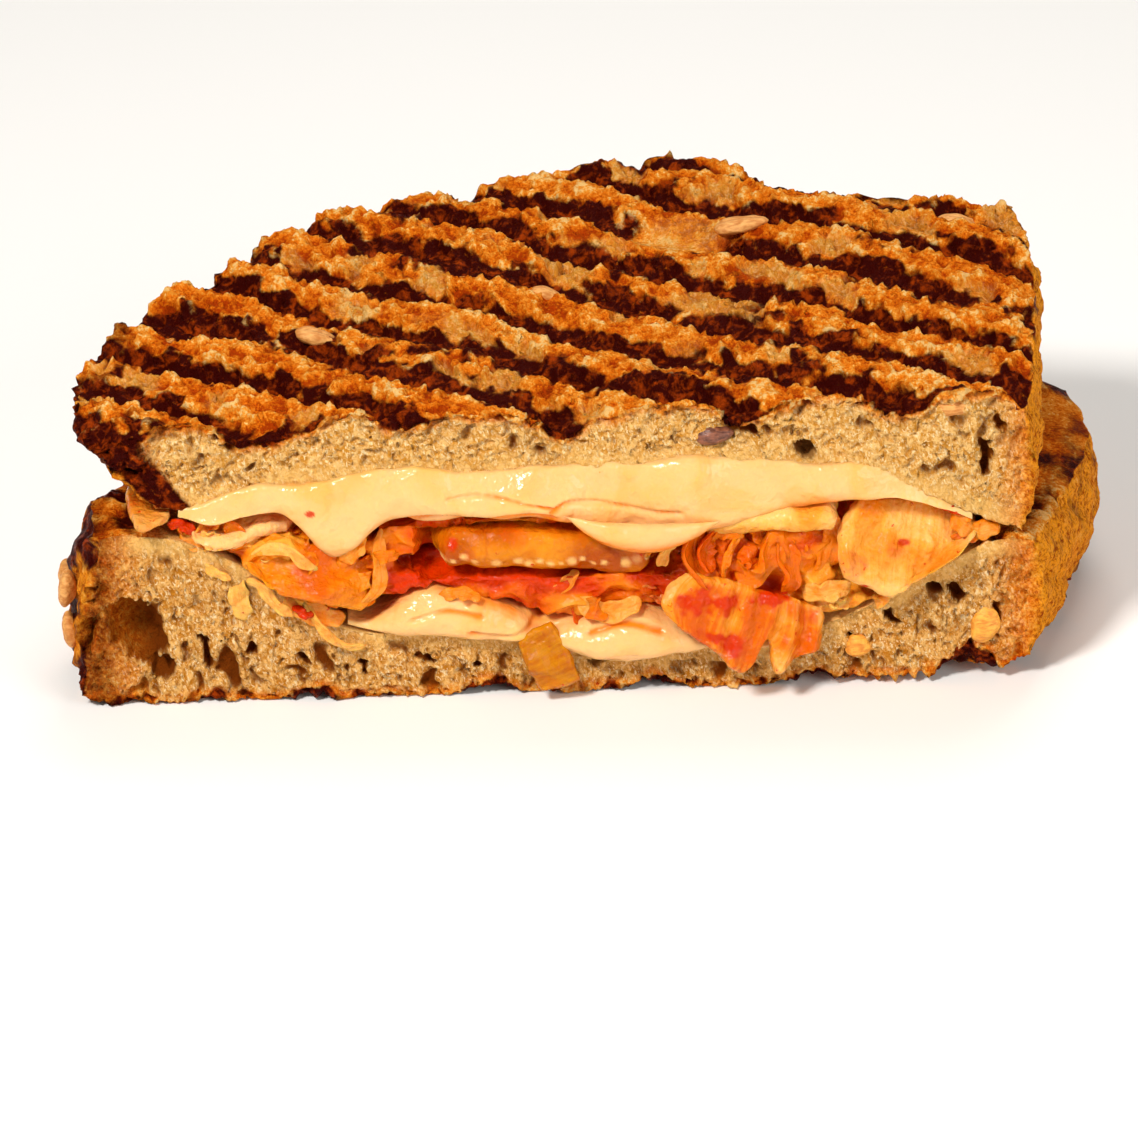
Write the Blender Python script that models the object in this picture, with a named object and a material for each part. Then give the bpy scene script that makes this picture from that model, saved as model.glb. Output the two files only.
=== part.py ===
"""Half of a grilled kimchi and cheese sandwich, cut across, as separate closed solids.

Two thick slices of seeded country bread, pressed in a ribbed grill, hold melted cheese above and
below a heap of kimchi. +X runs along the cut face from the domed crust to the flat base crust,
+Y goes back from the cut face and +Z is up. Sizes are in millimetres until a mesh is written.
"""

import math

import bmesh
import bpy
import numpy as np
from mathutils import Euler, Matrix, Vector

MM = 0.001

# Driving dimensions
CLEARANCE = 0.55           # how much larger than a piece its hollow in the heap is
RIB_PITCH = 9.4            # distance between two ribs of the grill
RIB_ANGLE = math.radians(59.0)   # direction across the ribs, seen from above
RIB_DEPTH = 2.6            # how far a rib presses into the top
BASE_RIB_DEPTH = 3.1       # the same for the underside, counted from the middle of a mark's slope
BASE_LAND = 0.36           # share of a mark's depth that the flat lands of the underside take up
TOP_MARKS = 1.8            # where the marks of the top lie across the ribs
BASE_MARKS = 6.2           # where the marks of the underside lie
CRUST_BULGE = 1.3          # how far a crust wall swells between its two edges
LAYER_GAP = 0.6            # gap between the layers of the filling
RIM_FLOOR = 18.2           # top of the lower slice at its crust
RIM_ROOF = 22.8            # underside of the upper slice at its crust
LAND_HEIGHT = 36.9         # top of the sandwich between two grill marks
BACK_RISE = 1.9            # how much less the dome of the crust is pressed than the cut edge
DOME_LEAN = 7.0            # how far the domed end of the upper slice is undercut
FILLING_LEFT = -43.0       # where the filling starts along the cut
FILLING_WIDTH = 92.0       # how far the filling reaches along the cut
FILLING_FRONT = 0.3        # how far behind the cut the flat front of the filling stands
STATIONS = 24              # grid lines along the filling
LOWER_FIRST = 5            # station at which the lower cheese starts
LOWER_COUNT = 14           # stations that the lower cheese spans

# Plan outlines: left side from the cut to the back, then the back, then the right side
UPPER_LEFT = [(-52.0, 0.0), (-54.9, 8.0), (-54.6, 16.0), (-51.2, 25.5)]
UPPER_BACK = [(-51.2, 25.5), (-44.8, 34.2), (-38.2, 40.4), (-33.4, 47.2), (-25.8, 55.2), (-10.3, 62.0),
              (5.2, 67.8), (15.5, 70.8), (25.4, 67.9), (35.2, 59.6), (44.5, 54.6), (60.2, 51.2)]
UPPER_RIGHT = [(54.6, 0.0), (56.8, 10.0), (58.9, 24.0), (60.6, 36.0), (61.0, 44.0), (60.2, 51.2)]
LOWER_LEFT = [(-54.8, 0.0), (-56.0, 9.0), (-54.2, 18.0), (-50.6, 27.0)]
LOWER_BACK = [(-50.6, 27.0), (-40.0, 40.5), (-26.0, 53.5), (-6.0, 62.4), (14.0, 67.6), (36.0, 64.0),
              (54.0, 55.0), (66.4, 41.5)]
LOWER_RIGHT = [(56.2, 0.0), (60.2, 8.0), (64.0, 18.0), (67.4, 30.0), (66.4, 41.5)]

# Heights along the cut face, as (distance along the cut, height)
ROOF = [(-56.0, 27.2), (-48.0, 26.2), (-40.0, 25.4), (-30.0, 27.4), (-9.0, 28.4), (17.0, 28.9),
        (28.0, 28.8), (37.0, 26.9), (44.0, 24.6), (49.0, 22.2), (53.0, 20.4), (70.0, 20.6)]
FLOOR = [(-60.0, 23.6), (-50.0, 22.4), (-42.0, 21.0), (-36.0, 17.8), (-30.0, 12.8), (-24.0, 9.2),
         (-14.0, 8.6), (-4.0, 7.4), (8.0, 5.6), (18.0, 6.0), (26.0, 6.2), (33.0, 8.4),
         (41.0, 12.2), (46.0, 15.4), (51.0, 18.2), (56.0, 18.9), (72.0, 18.9)]
CHEESE_UNDERSIDE = [(-46.0, 25.2), (-36.0, 24.6), (-30.5, 24.0), (-28.0, 21.6), (-25.6, 18.8),
                    (-23.4, 19.6), (-21.0, 22.2), (-14.0, 23.0), (-3.0, 23.4), (3.0, 22.6),
                    (8.0, 20.4), (14.0, 20.2), (19.0, 21.4), (26.0, 23.2), (36.0, 23.8),
                    (42.0, 23.2), (50.0, 20.6)]
DEPTH = [(-58.0, 12.0), (-46.0, 30.0), (-30.0, 51.0), (0.0, 64.0), (14.0, 68.0), (34.0, 60.0),
         (50.0, 50.0), (66.0, 40.0)]


def ease(value, low, high):
    """Smooth step from 0 at low to 1 at high."""
    t = np.clip((value - low) / (high - low), 0.0, 1.0)
    return t * t * (3.0 - 2.0 * t)


def profile(points, x):
    """Height at x of the smooth curve through points, each cubic with the neighbours' slope."""
    px, pz = np.array(points, float).T
    slope = np.gradient(pz, px)
    x = np.clip(x, px[0], px[-1])
    i = np.clip(np.searchsorted(px, x) - 1, 0, len(px) - 2)
    width = px[i + 1] - px[i]
    t = (x - px[i]) / width
    rise = t * t * (3.0 - 2.0 * t)
    start = t * (1.0 - t) ** 2 * width * slope[i]
    end = t * t * (t - 1.0) * width * slope[i + 1]
    return pz[i] + rise * (pz[i + 1] - pz[i]) + start + end


def along(points, t):
    """Points at the fractions t of the length of a smooth plan curve through points."""
    p = np.array(points, float)
    reach = np.concatenate([[0.0], np.cumsum(np.linalg.norm(np.diff(p, axis=0), axis=1))])
    reach /= reach[-1]
    return np.stack([profile(np.stack([reach, p[:, k]], 1), t) for k in (0, 1)], -1)


def ripple(x, y, size, seed):
    """A smooth random field between about -1 and 1, a sum of waves whose length is near size."""
    rng = np.random.default_rng(seed)
    total = np.zeros_like(x)
    for _ in range(6):
        angle = rng.uniform(0.0, 2.0 * math.pi)
        turns = 2.0 * math.pi / (size * rng.uniform(0.7, 1.5))
        total += np.sin(turns * (x * math.cos(angle) + y * math.sin(angle)) + rng.uniform(0, 6.28))
    return total / 3.0


def rib_mark(x, y, shift, seed):
    """How deep the ribs of the grill press, 0 on a land and 1 in the middle of a mark."""
    across = x * math.cos(RIB_ANGLE) + y * math.sin(RIB_ANGLE)
    across = across + 0.9 * ripple(x, y, 26.0, seed)
    wave = 0.5 + 0.5 * np.cos(2.0 * math.pi * (across - shift) / RIB_PITCH)
    return wave ** 1.5 * (0.8 + 0.3 * ripple(x, y, 19.0, seed + 1))


def towards_rim(x, y):
    """0 over the filling and 1 at the crust that closes the back of the sandwich."""
    return ease(y / profile(DEPTH, x), 0.42, 0.96)


def roof(x, y):
    """Underside of the upper slice."""
    back = towards_rim(x, y)
    return (1.0 - back) * profile(ROOF, x) + back * RIM_ROOF


def floor(x, y):
    """Upper side of the lower slice."""
    back = towards_rim(x, y)
    return (1.0 - back) * profile(FLOOR, x) + back * RIM_FLOOR


def cheese_underside(x, y):
    """Underside of the upper cheese, which thins to a sheet behind the cut face."""
    behind = ease(y, 2.0, 24.0)
    ceiling, ground = roof(x, y), floor(x, y)
    low = (1.0 - behind) * profile(CHEESE_UNDERSIDE, x) + behind * (ceiling - 2.4)
    lowest = ground + (0.45 + 0.21 * behind) * (ceiling - ground)
    return np.minimum(np.maximum(low, lowest), ceiling - 1.4)


def lower_cheese_top(x, y):
    """Top of the lower cheese: two swollen lobes at the cut face and a thin sheet behind them."""
    lobes = 3.9 * np.exp(-((x + 12.5) / 9.0) ** 2) + 4.0 * np.exp(-((x - 9.0) / 7.0) ** 2)
    front = 1.0 - ease(y, 1.0, 14.0)
    ceiling, ground = roof(x, y), floor(x, y)
    return np.minimum(ground + LAYER_GAP + 1.2 + lobes * front, ground + 0.33 * (ceiling - ground))


def plan_point(s, t, left, back, right):
    """Coons patch between the straight cut, two side curves and the back curve."""
    front_left, front_right = np.array(left[0], float), np.array(right[0], float)
    s1, t1 = s[:, None], t[:, None]
    cut = front_left + s1 * (front_right - front_left)
    rear = along(back, s)
    sides = (1 - s1) * along(left, t) + s1 * along(right, t)
    corners = ((1 - s1) * (1 - t1) * front_left + s1 * (1 - t1) * front_right
               + (1 - s1) * t1 * np.array(left[-1]) + s1 * t1 * np.array(right[-1]))
    return (1 - t1) * cut + t1 * rear + sides - corners


def box_grid(counts):
    """A unit cube whose six sides are cut into a grid by planes, as a bmesh."""
    bm = bmesh.new()
    bmesh.ops.create_cube(bm, size=1.0, matrix=Matrix.Translation((0.5, 0.5, 0.5)))
    for axis, count in enumerate(counts):
        for step in range(1, count):
            place, normal = Vector(), Vector()
            place[axis], normal[axis] = step / count, 1.0
            everything = bm.verts[:] + bm.edges[:] + bm.faces[:]
            bmesh.ops.bisect_plane(bm, geom=everything, plane_co=place, plane_no=normal)
    return bm


def shaped(name, counts, shape, collection):
    """An object made from a box grid, with shape(s, t, h) giving its points in millimetres."""
    bm = box_grid(counts)
    unit = np.array([v.co for v in bm.verts], float)
    for vert, point in zip(bm.verts, shape(*unit.T)):
        vert.co = point * MM
    mesh = bpy.data.meshes.new(name)
    bm.to_mesh(mesh)
    bm.free()
    mesh.shade_smooth()
    obj = bpy.data.objects.new(name, mesh)
    collection.objects.link(obj)
    return obj


def edge_round(s, t, span, back_span, width, drop):
    """How far the rim of a slice is rounded down within width of its crust."""
    near = np.minimum(np.minimum(s, 1.0 - s) * span, (1.0 - t) * back_span)
    return drop * (1.0 - np.clip(near / width, 0.0, 1.0)) ** 2


def crust_wall(plan, s, t, h):
    """Pushes the crust walls outwards between their edges. The cut face stays flat."""
    swell = CRUST_BULGE * 4.0 * h * (1.0 - h) + 0.5 * ripple(plan[:, 0], plan[:, 1] + 20 * h, 9.0, 5)
    plan[:, 0] += swell * ((s > 0.999) * 1.0 - (s < 0.001) * 1.0) * (t > 0.001)
    plan[:, 1] += swell * (t > 0.999)
    return plan


def grilled_top(x, y):
    """Top of the sandwich with the marks of the grill's ribs."""
    swell = 1.3 * ease(x, 14.0, 40.0) - 0.4 * ease(-x, 20.0, 50.0) + 0.5 * ripple(x, y, 34.0, 3)
    land = LAND_HEIGHT + swell + BACK_RISE * ease(y, 16.0, 52.0)
    return land - RIB_DEPTH * rib_mark(x, y, TOP_MARKS, 11)


def upper_slice(s, t, h):
    """Upper slice: ribbed above, pressed thin over the filling, undercut at its domed end."""
    plan = plan_point(s, t, UPPER_LEFT, UPPER_BACK, UPPER_RIGHT)
    undercut = DOME_LEAN * ease(-plan[:, 0], 30.0, 56.0) * (1.0 - 0.8 * ease(plan[:, 1], 8.0, 36.0))
    plan[:, 0] += undercut * (1.0 - h)
    plan = crust_wall(plan, s, t, h)
    x, y = plan.T
    top = grilled_top(x, y) - edge_round(s, t, 110.0, 62.0, 4.0, 1.1)
    low = roof(x, y)
    return np.stack([x, y, low + h * (top - low)], 1)


def lower_slice(s, t, h):
    """Lower slice: pressed thin under the filling, with grill marks across its underside."""
    plan = plan_point(s, t, LOWER_LEFT, LOWER_BACK, LOWER_RIGHT)
    plan[:, 0] += 2.8 * h * ease(-plan[:, 0], 40.0, 57.0)
    plan = crust_wall(plan, s, t, h)
    x, y = plan.T
    rise = 1.4 * ease(x, 22.0, 56.0)
    low = (rise + BASE_RIB_DEPTH * np.clip(rib_mark(x, y, BASE_MARKS, 23) - BASE_LAND, 0.0, 1.0)
           + edge_round(s, t, 112.0, 60.0, 5.0, 1.4))
    top = floor(x, y) - edge_round(s, t, 112.0, 60.0, 4.0, 0.9)
    return np.stack([x, y, low + h * (top - low)], 1)


def filling_plan(s, t):
    """Where a point of a filling layer lies. All layers share these stations, so none meet."""
    x = FILLING_LEFT + s * FILLING_WIDTH
    return x, FILLING_FRONT + t * (0.88 * profile(DEPTH, x) - FILLING_FRONT)


def rounded_front(y, t, h, reach):
    """Moves the cut side of a soft layer forwards as a rounded lip."""
    return y - reach * np.sqrt(np.clip(1.0 - (2.0 * h - 1.0) ** 2, 0.0, 1.0)) * (1.0 - t) ** 9


def upper_cheese(s, t, h):
    """Upper cheese: a sheet under the roof, sagging where it melted between the leaves."""
    x, y = filling_plan(s, t)
    top = roof(x, y) - LAYER_GAP
    low = cheese_underside(x, y)
    lip = 2.0 + 0.7 * ripple(x, h * 9.0, 17.0, 31)
    return np.stack([x, rounded_front(y, t, h, lip), low + h * (top - low)], 1)


def lower_cheese(s, t, h):
    """Lower cheese: spans the middle stations of the filling only."""
    x, y = filling_plan((LOWER_FIRST + s * LOWER_COUNT) / STATIONS, t)
    low = floor(x, y) + LAYER_GAP
    top = lower_cheese_top(x, y)
    lip = 2.4 + 1.4 * np.exp(-((x - 9.0) / 8.0) ** 2)
    return np.stack([x, rounded_front(y, t, h, lip), low + h * (top - low)], 1)


def kimchi_heap(s, t, h):
    """The heap of cut leaves between the cheeses, lumpy where it shows at the cut face."""
    x, y = filling_plan(s, t)
    station = np.round(s * STATIONS)
    over_cheese = (station >= LOWER_FIRST - 1) & (station <= LOWER_FIRST + LOWER_COUNT + 1)
    low = np.where(over_cheese, lower_cheese_top(x, y), floor(x, y)) + LAYER_GAP
    top = cheese_underside(x, y) - LAYER_GAP
    z = low + h * (top - low)
    lumps = 0.5 + 1.5 * np.abs(ripple(x, z * 1.4, 8.0, 41)) - 1.2 * ease(x, 30.0, 36.0)
    return np.stack([x, rounded_front(y, t, h, lumps), z], 1)


PIECE_GRID = (6, 3, 2)
BREAD_ROOM = 0.9           # how near a piece may come to the bread
# Cut pieces of cabbage that show as pieces. Each has the place of its middle, its half sizes, its
# turns in degrees, how far it arches along its length and how much narrower its far end is. Those
# that hang down in front of the lower slice are marked.
PIECES = {
    "stem_middle": dict(at=(-0.4, 7.4, 18.9), half=(14.0, 9.4, 2.6), turn=(-4, 5, -2), arch=1.5, taper=0.12),
    "stem_right": dict(at=(41.4, 0.2, 17.6), half=(8.4, 6.2, 1.4), turn=(60, 14, 4), arch=-0.6, taper=-0.2),
    "stem_upper_right": dict(at=(23.8, 7.4, 21.9), half=(8.8, 7.4, 0.9), turn=(3, -5, 4), arch=0.4, taper=-0.2),
    "stem_ribbed": dict(at=(22.4, -2.9, 10.2), half=(9.8, 4.2, 1.1), turn=(72, 22, 3), arch=0.6, taper=-0.1,
                        hangs=True),
    "stem_left": dict(at=(-35.6, 7.4, 22.4), half=(6.2, 7.0, 0.9), turn=(4, -8, -4), arch=0.3, taper=0.3),
    "stem_far_left": dict(at=(-46.4, 2.6, 24.3), half=(2.4, 4.4, 0.7), turn=(2, 4, 8), arch=0.2, taper=0.3),
    "leaf_left": dict(at=(-27.8, -0.3, 16.9), half=(8.0, 3.4, 0.8), turn=(56, 16, -3), arch=1.8, taper=0.1),
    "leaf_curled": dict(at=(23.6, 1.6, 17.0), half=(5.6, 2.7, 0.9), turn=(66, -8, 8), arch=1.8, taper=0.2),
    "stem_hanging": dict(at=(-0.6, -2.0, 5.6), half=(2.7, 4.0, 0.7), turn=(80, -24, 4), arch=0.4, taper=-0.1,
                         hangs=True),
}
# Smaller folded bits that are part of the heap itself
BITS = {
    "strand_left": dict(at=(-18.6, 0.6, 17.4), half=(4.4, 2.0, 1.0), turn=(70, 62, 10), arch=1.0, taper=0.2),
    "fold_middle": dict(at=(9.6, 0.4, 13.6), half=(4.6, 2.2, 1.0), turn=(64, 10, 0), arch=1.2, taper=0.3),
    "shred_middle": dict(at=(1.4, 0.6, 22.0), half=(3.8, 1.6, 0.6), turn=(20, 4, 6), arch=0.6, taper=0.2),
    "fold_right": dict(at=(34.6, 0.2, 11.8), half=(4.3, 2.2, 0.9), turn=(60, -18, 4), arch=1.0, taper=0.2),
    "shred_right": dict(at=(46.6, 0.8, 20.4), half=(2.2, 1.4, 0.7), turn=(40, 30, 0), arch=0.4, taper=0.2),
}


def piece_shape(at, half, turn, arch, taper, grow=0.0, hangs=False):
    """Shape of one cut piece: a slab with rounded sides, arched, tapered and turned into place."""
    rotation = np.array(Euler([math.radians(a) for a in turn]).to_matrix())

    def shape(s, t, h):
        u = np.stack([s, t, h], 1) * 2.0 - 1.0
        size = np.array(half) + grow
        local = u * size
        rim = np.abs(u[:, 0]) ** 4 * 0.10 + np.abs(u[:, 1]) ** 4 * 0.12
        local[:, 2] *= 1.0 - np.clip(rim * 2.0, 0.0, 0.6)
        local[:, 1] *= 1.0 - taper * u[:, 0]
        local[:, 0] *= 1.0 - 0.10 * u[:, 1] ** 2
        local[:, 2] += arch * (1.0 - u[:, 0] ** 2) - arch * 0.5
        x, y, z = (local @ rotation.T + np.array(at)).T
        room = BREAD_ROOM - grow
        ground = floor(x, np.maximum(y, 0.0)) + room
        if hangs:
            y = np.where(z < ground + 0.6, np.minimum(y, -room), y)
        else:
            ceiling = roof(x, np.maximum(y, 0.0)) - room
            thin = half[2] + 2.0 * grow
            z = np.minimum(np.maximum(z, ground + h * thin), ceiling - (1.0 - h) * thin)
        return np.stack([x, y, z], 1)
    return shape


# Seeds and oat flakes that stand out of the bread, as (slice, place, half sizes, turn about +Y).
# Those with a negative height lie on the grilled top, sunk into it by that much.
SEEDS = [
    ("bread_top", (-26.5, 22.5, -0.2), (2.6, 1.6, 0.9), 14),
    ("bread_top", (26.0, 46.0, -0.1), (3.4, 1.7, 0.9), -10),
    ("bread_top", (53.0, 47.5, -0.2), (2.8, 1.8, 1.1), 6),
    ("bread_top", (1.5, 31.0, -0.2), (2.2, 1.3, 0.8), 20),
    ("bread_top", (46.2, 0.8, 35.6), (2.4, 1.2, 1.1), 0),
    ("bread_top", (18.8, 0.5, 33.0), (2.3, 1.1, 1.2), -8),
    ("bread_bottom", (51.2, 0.4, 7.2), (1.8, 1.2, 2.5), 8),
    ("bread_bottom", (36.2, 0.4, 4.8), (1.6, 1.0, 1.5), 20),
    ("bread_bottom", (-56.4, 4.6, 13.2), (1.1, 1.6, 2.3), 6),
    ("bread_bottom", (-56.2, 5.6, 7.2), (1.1, 1.6, 2.3), -6),
    ("bread_bottom", (-56.8, 14.0, 10.2), (1.1, 2.2, 1.5), 0),
]
# Hollows torn in the crumb of the cut face, as (slice, middle, half sizes, turn about +Y)
HOLLOWS = [
    ("bread_bottom", (-47.8, -0.6, 10.6), (2.9, 5.4, 4.9), -24),
    ("bread_bottom", (-54.0, -0.8, 11.6), (0.55, 5.0, 7.6), 3),
    ("bread_bottom", (40.8, -0.4, 10.4), (1.5, 2.6, 1.0), 30),
    ("bread_top", (29.2, -0.4, 30.6), (1.5, 2.8, 1.2), 20),
    ("bread_top", (50.2, -0.5, 29.4), (0.8, 3.0, 3.4), -10),
]

LOOKS = {
    "bread_top": ((0.33, 0.15, 0.05), 0.75),
    "bread_bottom": ((0.42, 0.24, 0.11), 0.78),
    "cheese_top": ((0.89, 0.62, 0.24), 0.32),
    "cheese_bottom": ((0.89, 0.60, 0.22), 0.32),
    "kimchi": ((0.68, 0.14, 0.02), 0.28),
    "stem": ((0.80, 0.42, 0.12), 0.25),
    "leaf": ((0.74, 0.24, 0.04), 0.28),
}


def ellipsoid(name, at, half, turn, collection, rings):
    """A low sphere, stretched and turned about +Y, used as a seed or a cutter."""
    bm = bmesh.new()
    bmesh.ops.create_uvsphere(bm, u_segments=rings + 3, v_segments=rings, radius=1.0)
    place = (Matrix.Translation(Vector(at) * MM) @ Matrix.Rotation(math.radians(turn), 4, "Y")
             @ Matrix.Diagonal([*(Vector(half) * MM), 1.0]))
    bmesh.ops.transform(bm, matrix=place, verts=bm.verts)
    mesh = bpy.data.meshes.new(name)
    bm.to_mesh(mesh)
    bm.free()
    obj = bpy.data.objects.new(name, mesh)
    collection.objects.link(obj)
    return obj


def combine(obj, operation, helpers):
    """Joins or cuts obj with every object of the collection helpers, then removes those."""
    modifier = obj.modifiers.new(operation, "BOOLEAN")
    modifier.operation = operation
    modifier.operand_type = "COLLECTION"
    modifier.collection = helpers
    graph = bpy.context.evaluated_depsgraph_get()
    result = bpy.data.meshes.new_from_object(obj.evaluated_get(graph))
    obj.modifiers.clear()
    obj.data = result
    for helper in list(helpers.objects):
        bpy.data.objects.remove(helper)
    bpy.data.collections.remove(helpers)


def keep_largest(obj):
    """Drops the loose scraps that a cut leaves, so that the node stays one body."""
    bm = bmesh.new()
    bm.from_mesh(obj.data)
    bm.verts.ensure_lookup_table()
    seen, islands = set(), []
    for start in bm.verts:
        if start in seen:
            continue
        island, queue = [], [start]
        seen.add(start)
        while queue:
            vert = queue.pop()
            island.append(vert)
            for edge in vert.link_edges:
                other = edge.other_vert(vert)
                if other not in seen:
                    seen.add(other)
                    queue.append(other)
        islands.append(island)
    islands.sort(key=len)
    loose = [vert for island in islands[:-1] for vert in island]
    bmesh.ops.delete(bm, geom=loose, context="VERTS")
    bm.to_mesh(obj.data)
    bm.free()


def helper_collection(name):
    """A collection for objects that only cut or join."""
    helpers = bpy.data.collections.new(name)
    bpy.context.scene.collection.children.link(helpers)
    return helpers


def finish_bread(obj):
    """Tears the hollows in a slice and fuses its seeds to it."""
    for operation, table, rings in (("DIFFERENCE", HOLLOWS, 6), ("UNION", SEEDS, 4)):
        helpers = helper_collection(obj.name + operation)
        for number, (owner, at, half, turn) in enumerate(table):
            if owner != obj.name:
                continue
            x, y, z = at
            if z < 0.0:
                z += float(grilled_top(np.array([x]), np.array([y]))[0])
            ellipsoid(f"{operation}{number}", (x, y, z), half, turn, helpers, rings)
        combine(obj, operation, helpers)
    keep_largest(obj)


def cut_clear(obj, neighbours):
    """Cuts obj back from its neighbours, given as (counts, grown shape) pairs."""
    helpers = helper_collection(obj.name + "_clear")
    for number, (counts, shape) in enumerate(neighbours):
        shaped(f"clear{number}", counts, shape, helpers)
    combine(obj, "DIFFERENCE", helpers)
    keep_largest(obj)


def add_bits(heap):
    """Fuses the smaller folded bits to the heap."""
    helpers = helper_collection("bits")
    for name, sizes in BITS.items():
        shaped(name, (5, 2, 2), piece_shape(**sizes), helpers)
    combine(heap, "UNION", helpers)


def paint(obj, colour, roughness):
    """Gives obj its own plain material."""
    material = bpy.data.materials.new(obj.name)
    material.use_nodes = True
    shader = material.node_tree.nodes["Principled BSDF"]
    shader.inputs["Base Color"].default_value = (*colour, 1.0)
    shader.inputs["Roughness"].default_value = roughness
    shader.inputs["Metallic"].default_value = 0.0
    obj.data.materials.clear()
    obj.data.materials.append(material)


def centre_on_base(objects):
    """Moves the whole sandwich so that the origin is the middle of its box, on its resting plane."""
    corners = np.concatenate([np.array([v.co for v in obj.data.vertices]) for obj in objects])
    low, high = corners.min(0), corners.max(0)
    shift = Vector((-(low[0] + high[0]) / 2, -(low[1] + high[1]) / 2, -low[2]))
    for obj in objects:
        obj.data.transform(Matrix.Translation(shift))
    print("the middle of the cut is now at", [round(v, 6) for v in shift])


def main():
    """Builds every node of the sandwich half."""
    for obj in list(bpy.data.objects):
        bpy.data.objects.remove(obj)
    sandwich = bpy.data.collections.new("kimchi_cheese_sandwich")
    bpy.context.scene.collection.children.link(sandwich)

    for name, counts, shape in (("bread_top", (28, 24, 4), upper_slice),
                                ("bread_bottom", (26, 20, 4), lower_slice)):
        finish_bread(shaped(name, counts, shape, sandwich))
    grown_pieces = []
    for name, sizes in PIECES.items():
        shaped(name, PIECE_GRID, piece_shape(**sizes), sandwich)
        grown_pieces.append((PIECE_GRID, piece_shape(**sizes, grow=CLEARANCE)))
    for name, counts, shape in (("cheese_top", (STATIONS, 7, 3), upper_cheese),
                                ("cheese_bottom", (LOWER_COUNT, 7, 3), lower_cheese),
                                ("kimchi", (STATIONS, 7, 3), kimchi_heap)):
        layer = shaped(name, counts, shape, sandwich)
        if name == "kimchi":
            add_bits(layer)
        cut_clear(layer, grown_pieces)

    objects = list(sandwich.objects)
    centre_on_base(objects)
    for obj in objects:
        look = LOOKS.get(obj.name) or LOOKS[obj.name.split("_")[0]]
        paint(obj, *look)


main()
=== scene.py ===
"""Looks for one half of a grilled kimchi and cheese sandwich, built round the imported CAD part.

Shapes are worked out in cut coordinates, in millimetres: +X runs along the cut face, +Y goes back
from it into the bread, +Z is up from the resting plane, and the origin is the middle of the cut.
"""

import itertools
import logging
import math
from collections.abc import Callable, Sequence
from dataclasses import dataclass, field
from enum import Enum

import bpy
import numpy as np
from mathutils import Euler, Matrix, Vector


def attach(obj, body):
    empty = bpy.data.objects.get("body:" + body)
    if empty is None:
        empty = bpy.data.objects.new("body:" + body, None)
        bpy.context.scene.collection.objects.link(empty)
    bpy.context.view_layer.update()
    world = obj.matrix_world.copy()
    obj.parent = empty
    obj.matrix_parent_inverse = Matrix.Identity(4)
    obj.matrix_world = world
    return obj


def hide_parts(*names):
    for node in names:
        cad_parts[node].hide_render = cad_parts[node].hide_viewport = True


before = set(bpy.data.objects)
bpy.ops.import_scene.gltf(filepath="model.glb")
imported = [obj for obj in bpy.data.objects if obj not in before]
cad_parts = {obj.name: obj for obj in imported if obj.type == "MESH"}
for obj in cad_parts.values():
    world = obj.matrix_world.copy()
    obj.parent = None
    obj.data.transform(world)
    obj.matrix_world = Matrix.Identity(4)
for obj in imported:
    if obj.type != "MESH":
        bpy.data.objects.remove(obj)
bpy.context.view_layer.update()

logging.basicConfig(level=logging.INFO, format="%(message)s")
log = logging.getLogger("sandwich")

MM = 0.001
CUT_MIDDLE = np.array((-5.729, -33.252, 0.0))   # the middle of the cut, in the frame

# Sizes shared with the CAD part
RIB_PITCH = 9.4
RIB_ANGLE = math.radians(59.0)
RIB_DEPTH = 2.6
RIB_WANDER = 0.9                    # how far a mark strays from its line
RIB_WANDER_LENGTH = 26.0            # distance over which it strays
RIB_FADE_LENGTH = 19.0              # distance over which it grows stronger and weaker
RIB_SHARPNESS = 1.5
BASE_RIB_DEPTH = 3.1
BASE_LAND = 0.36
TOP_MARKS = 1.8                     # where the first mark lies
BASE_MARKS = 6.2
TOP_MARK_SEED, BASE_MARK_SEED = 11, 23
CRUST_BULGE = 1.3
LAYER_GAP = 0.6
RIM_FLOOR = 18.2
RIM_ROOF = 22.8
LAND_HEIGHT = 36.9
LAND_SWELL = 0.5
LAND_SWELL_LENGTH = 34.0
BACK_RISE = 1.9
BASE_LIFT = 1.4                     # rise of the underside towards the flat base
CUT_LENGTH = 110.0
BACK_REACH = 62.0
DOME_LEAN = 7.0
FILLING_LEFT = -43.0
FILLING_WIDTH = 92.0
FILLING_FRONT = 0.3
LOWER_SPAN = (5 / 24, 19 / 24)      # where the lower cheese starts and ends along the filling
FILLING_SHARE = 0.88                # how much of the depth the filling takes
BREAD_ROOM = 0.9
SHEET = 2.4                         # thickness of the upper cheese behind the cut
THINNEST_SHEET = 1.4
LOWER_LOBES = ((-12.5, 3.9, 9.0), (9.0, 4.0, 7.0))      # middle, height and width
RIM_STARTS, RIM_ENDS = 0.42, 0.96   # shares of the depth between which the layers close

UPPER_LEFT = [(-52.0, 0.0), (-54.9, 8.0), (-54.6, 16.0), (-51.2, 25.5)]
UPPER_BACK = [(-51.2, 25.5), (-44.8, 34.2), (-38.2, 40.4), (-33.4, 47.2), (-25.8, 55.2), (-10.3, 62.0),
              (5.2, 67.8), (15.5, 70.8), (25.4, 67.9), (35.2, 59.6), (44.5, 54.6), (60.2, 51.2)]
UPPER_RIGHT = [(54.6, 0.0), (56.8, 10.0), (58.9, 24.0), (60.6, 36.0), (61.0, 44.0), (60.2, 51.2)]
LOWER_LEFT = [(-54.8, 0.0), (-56.0, 9.0), (-54.2, 18.0), (-50.6, 27.0)]
LOWER_BACK = [(-50.6, 27.0), (-40.0, 40.5), (-26.0, 53.5), (-6.0, 62.4), (14.0, 67.6), (36.0, 64.0),
              (54.0, 55.0), (66.4, 41.5)]
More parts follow.
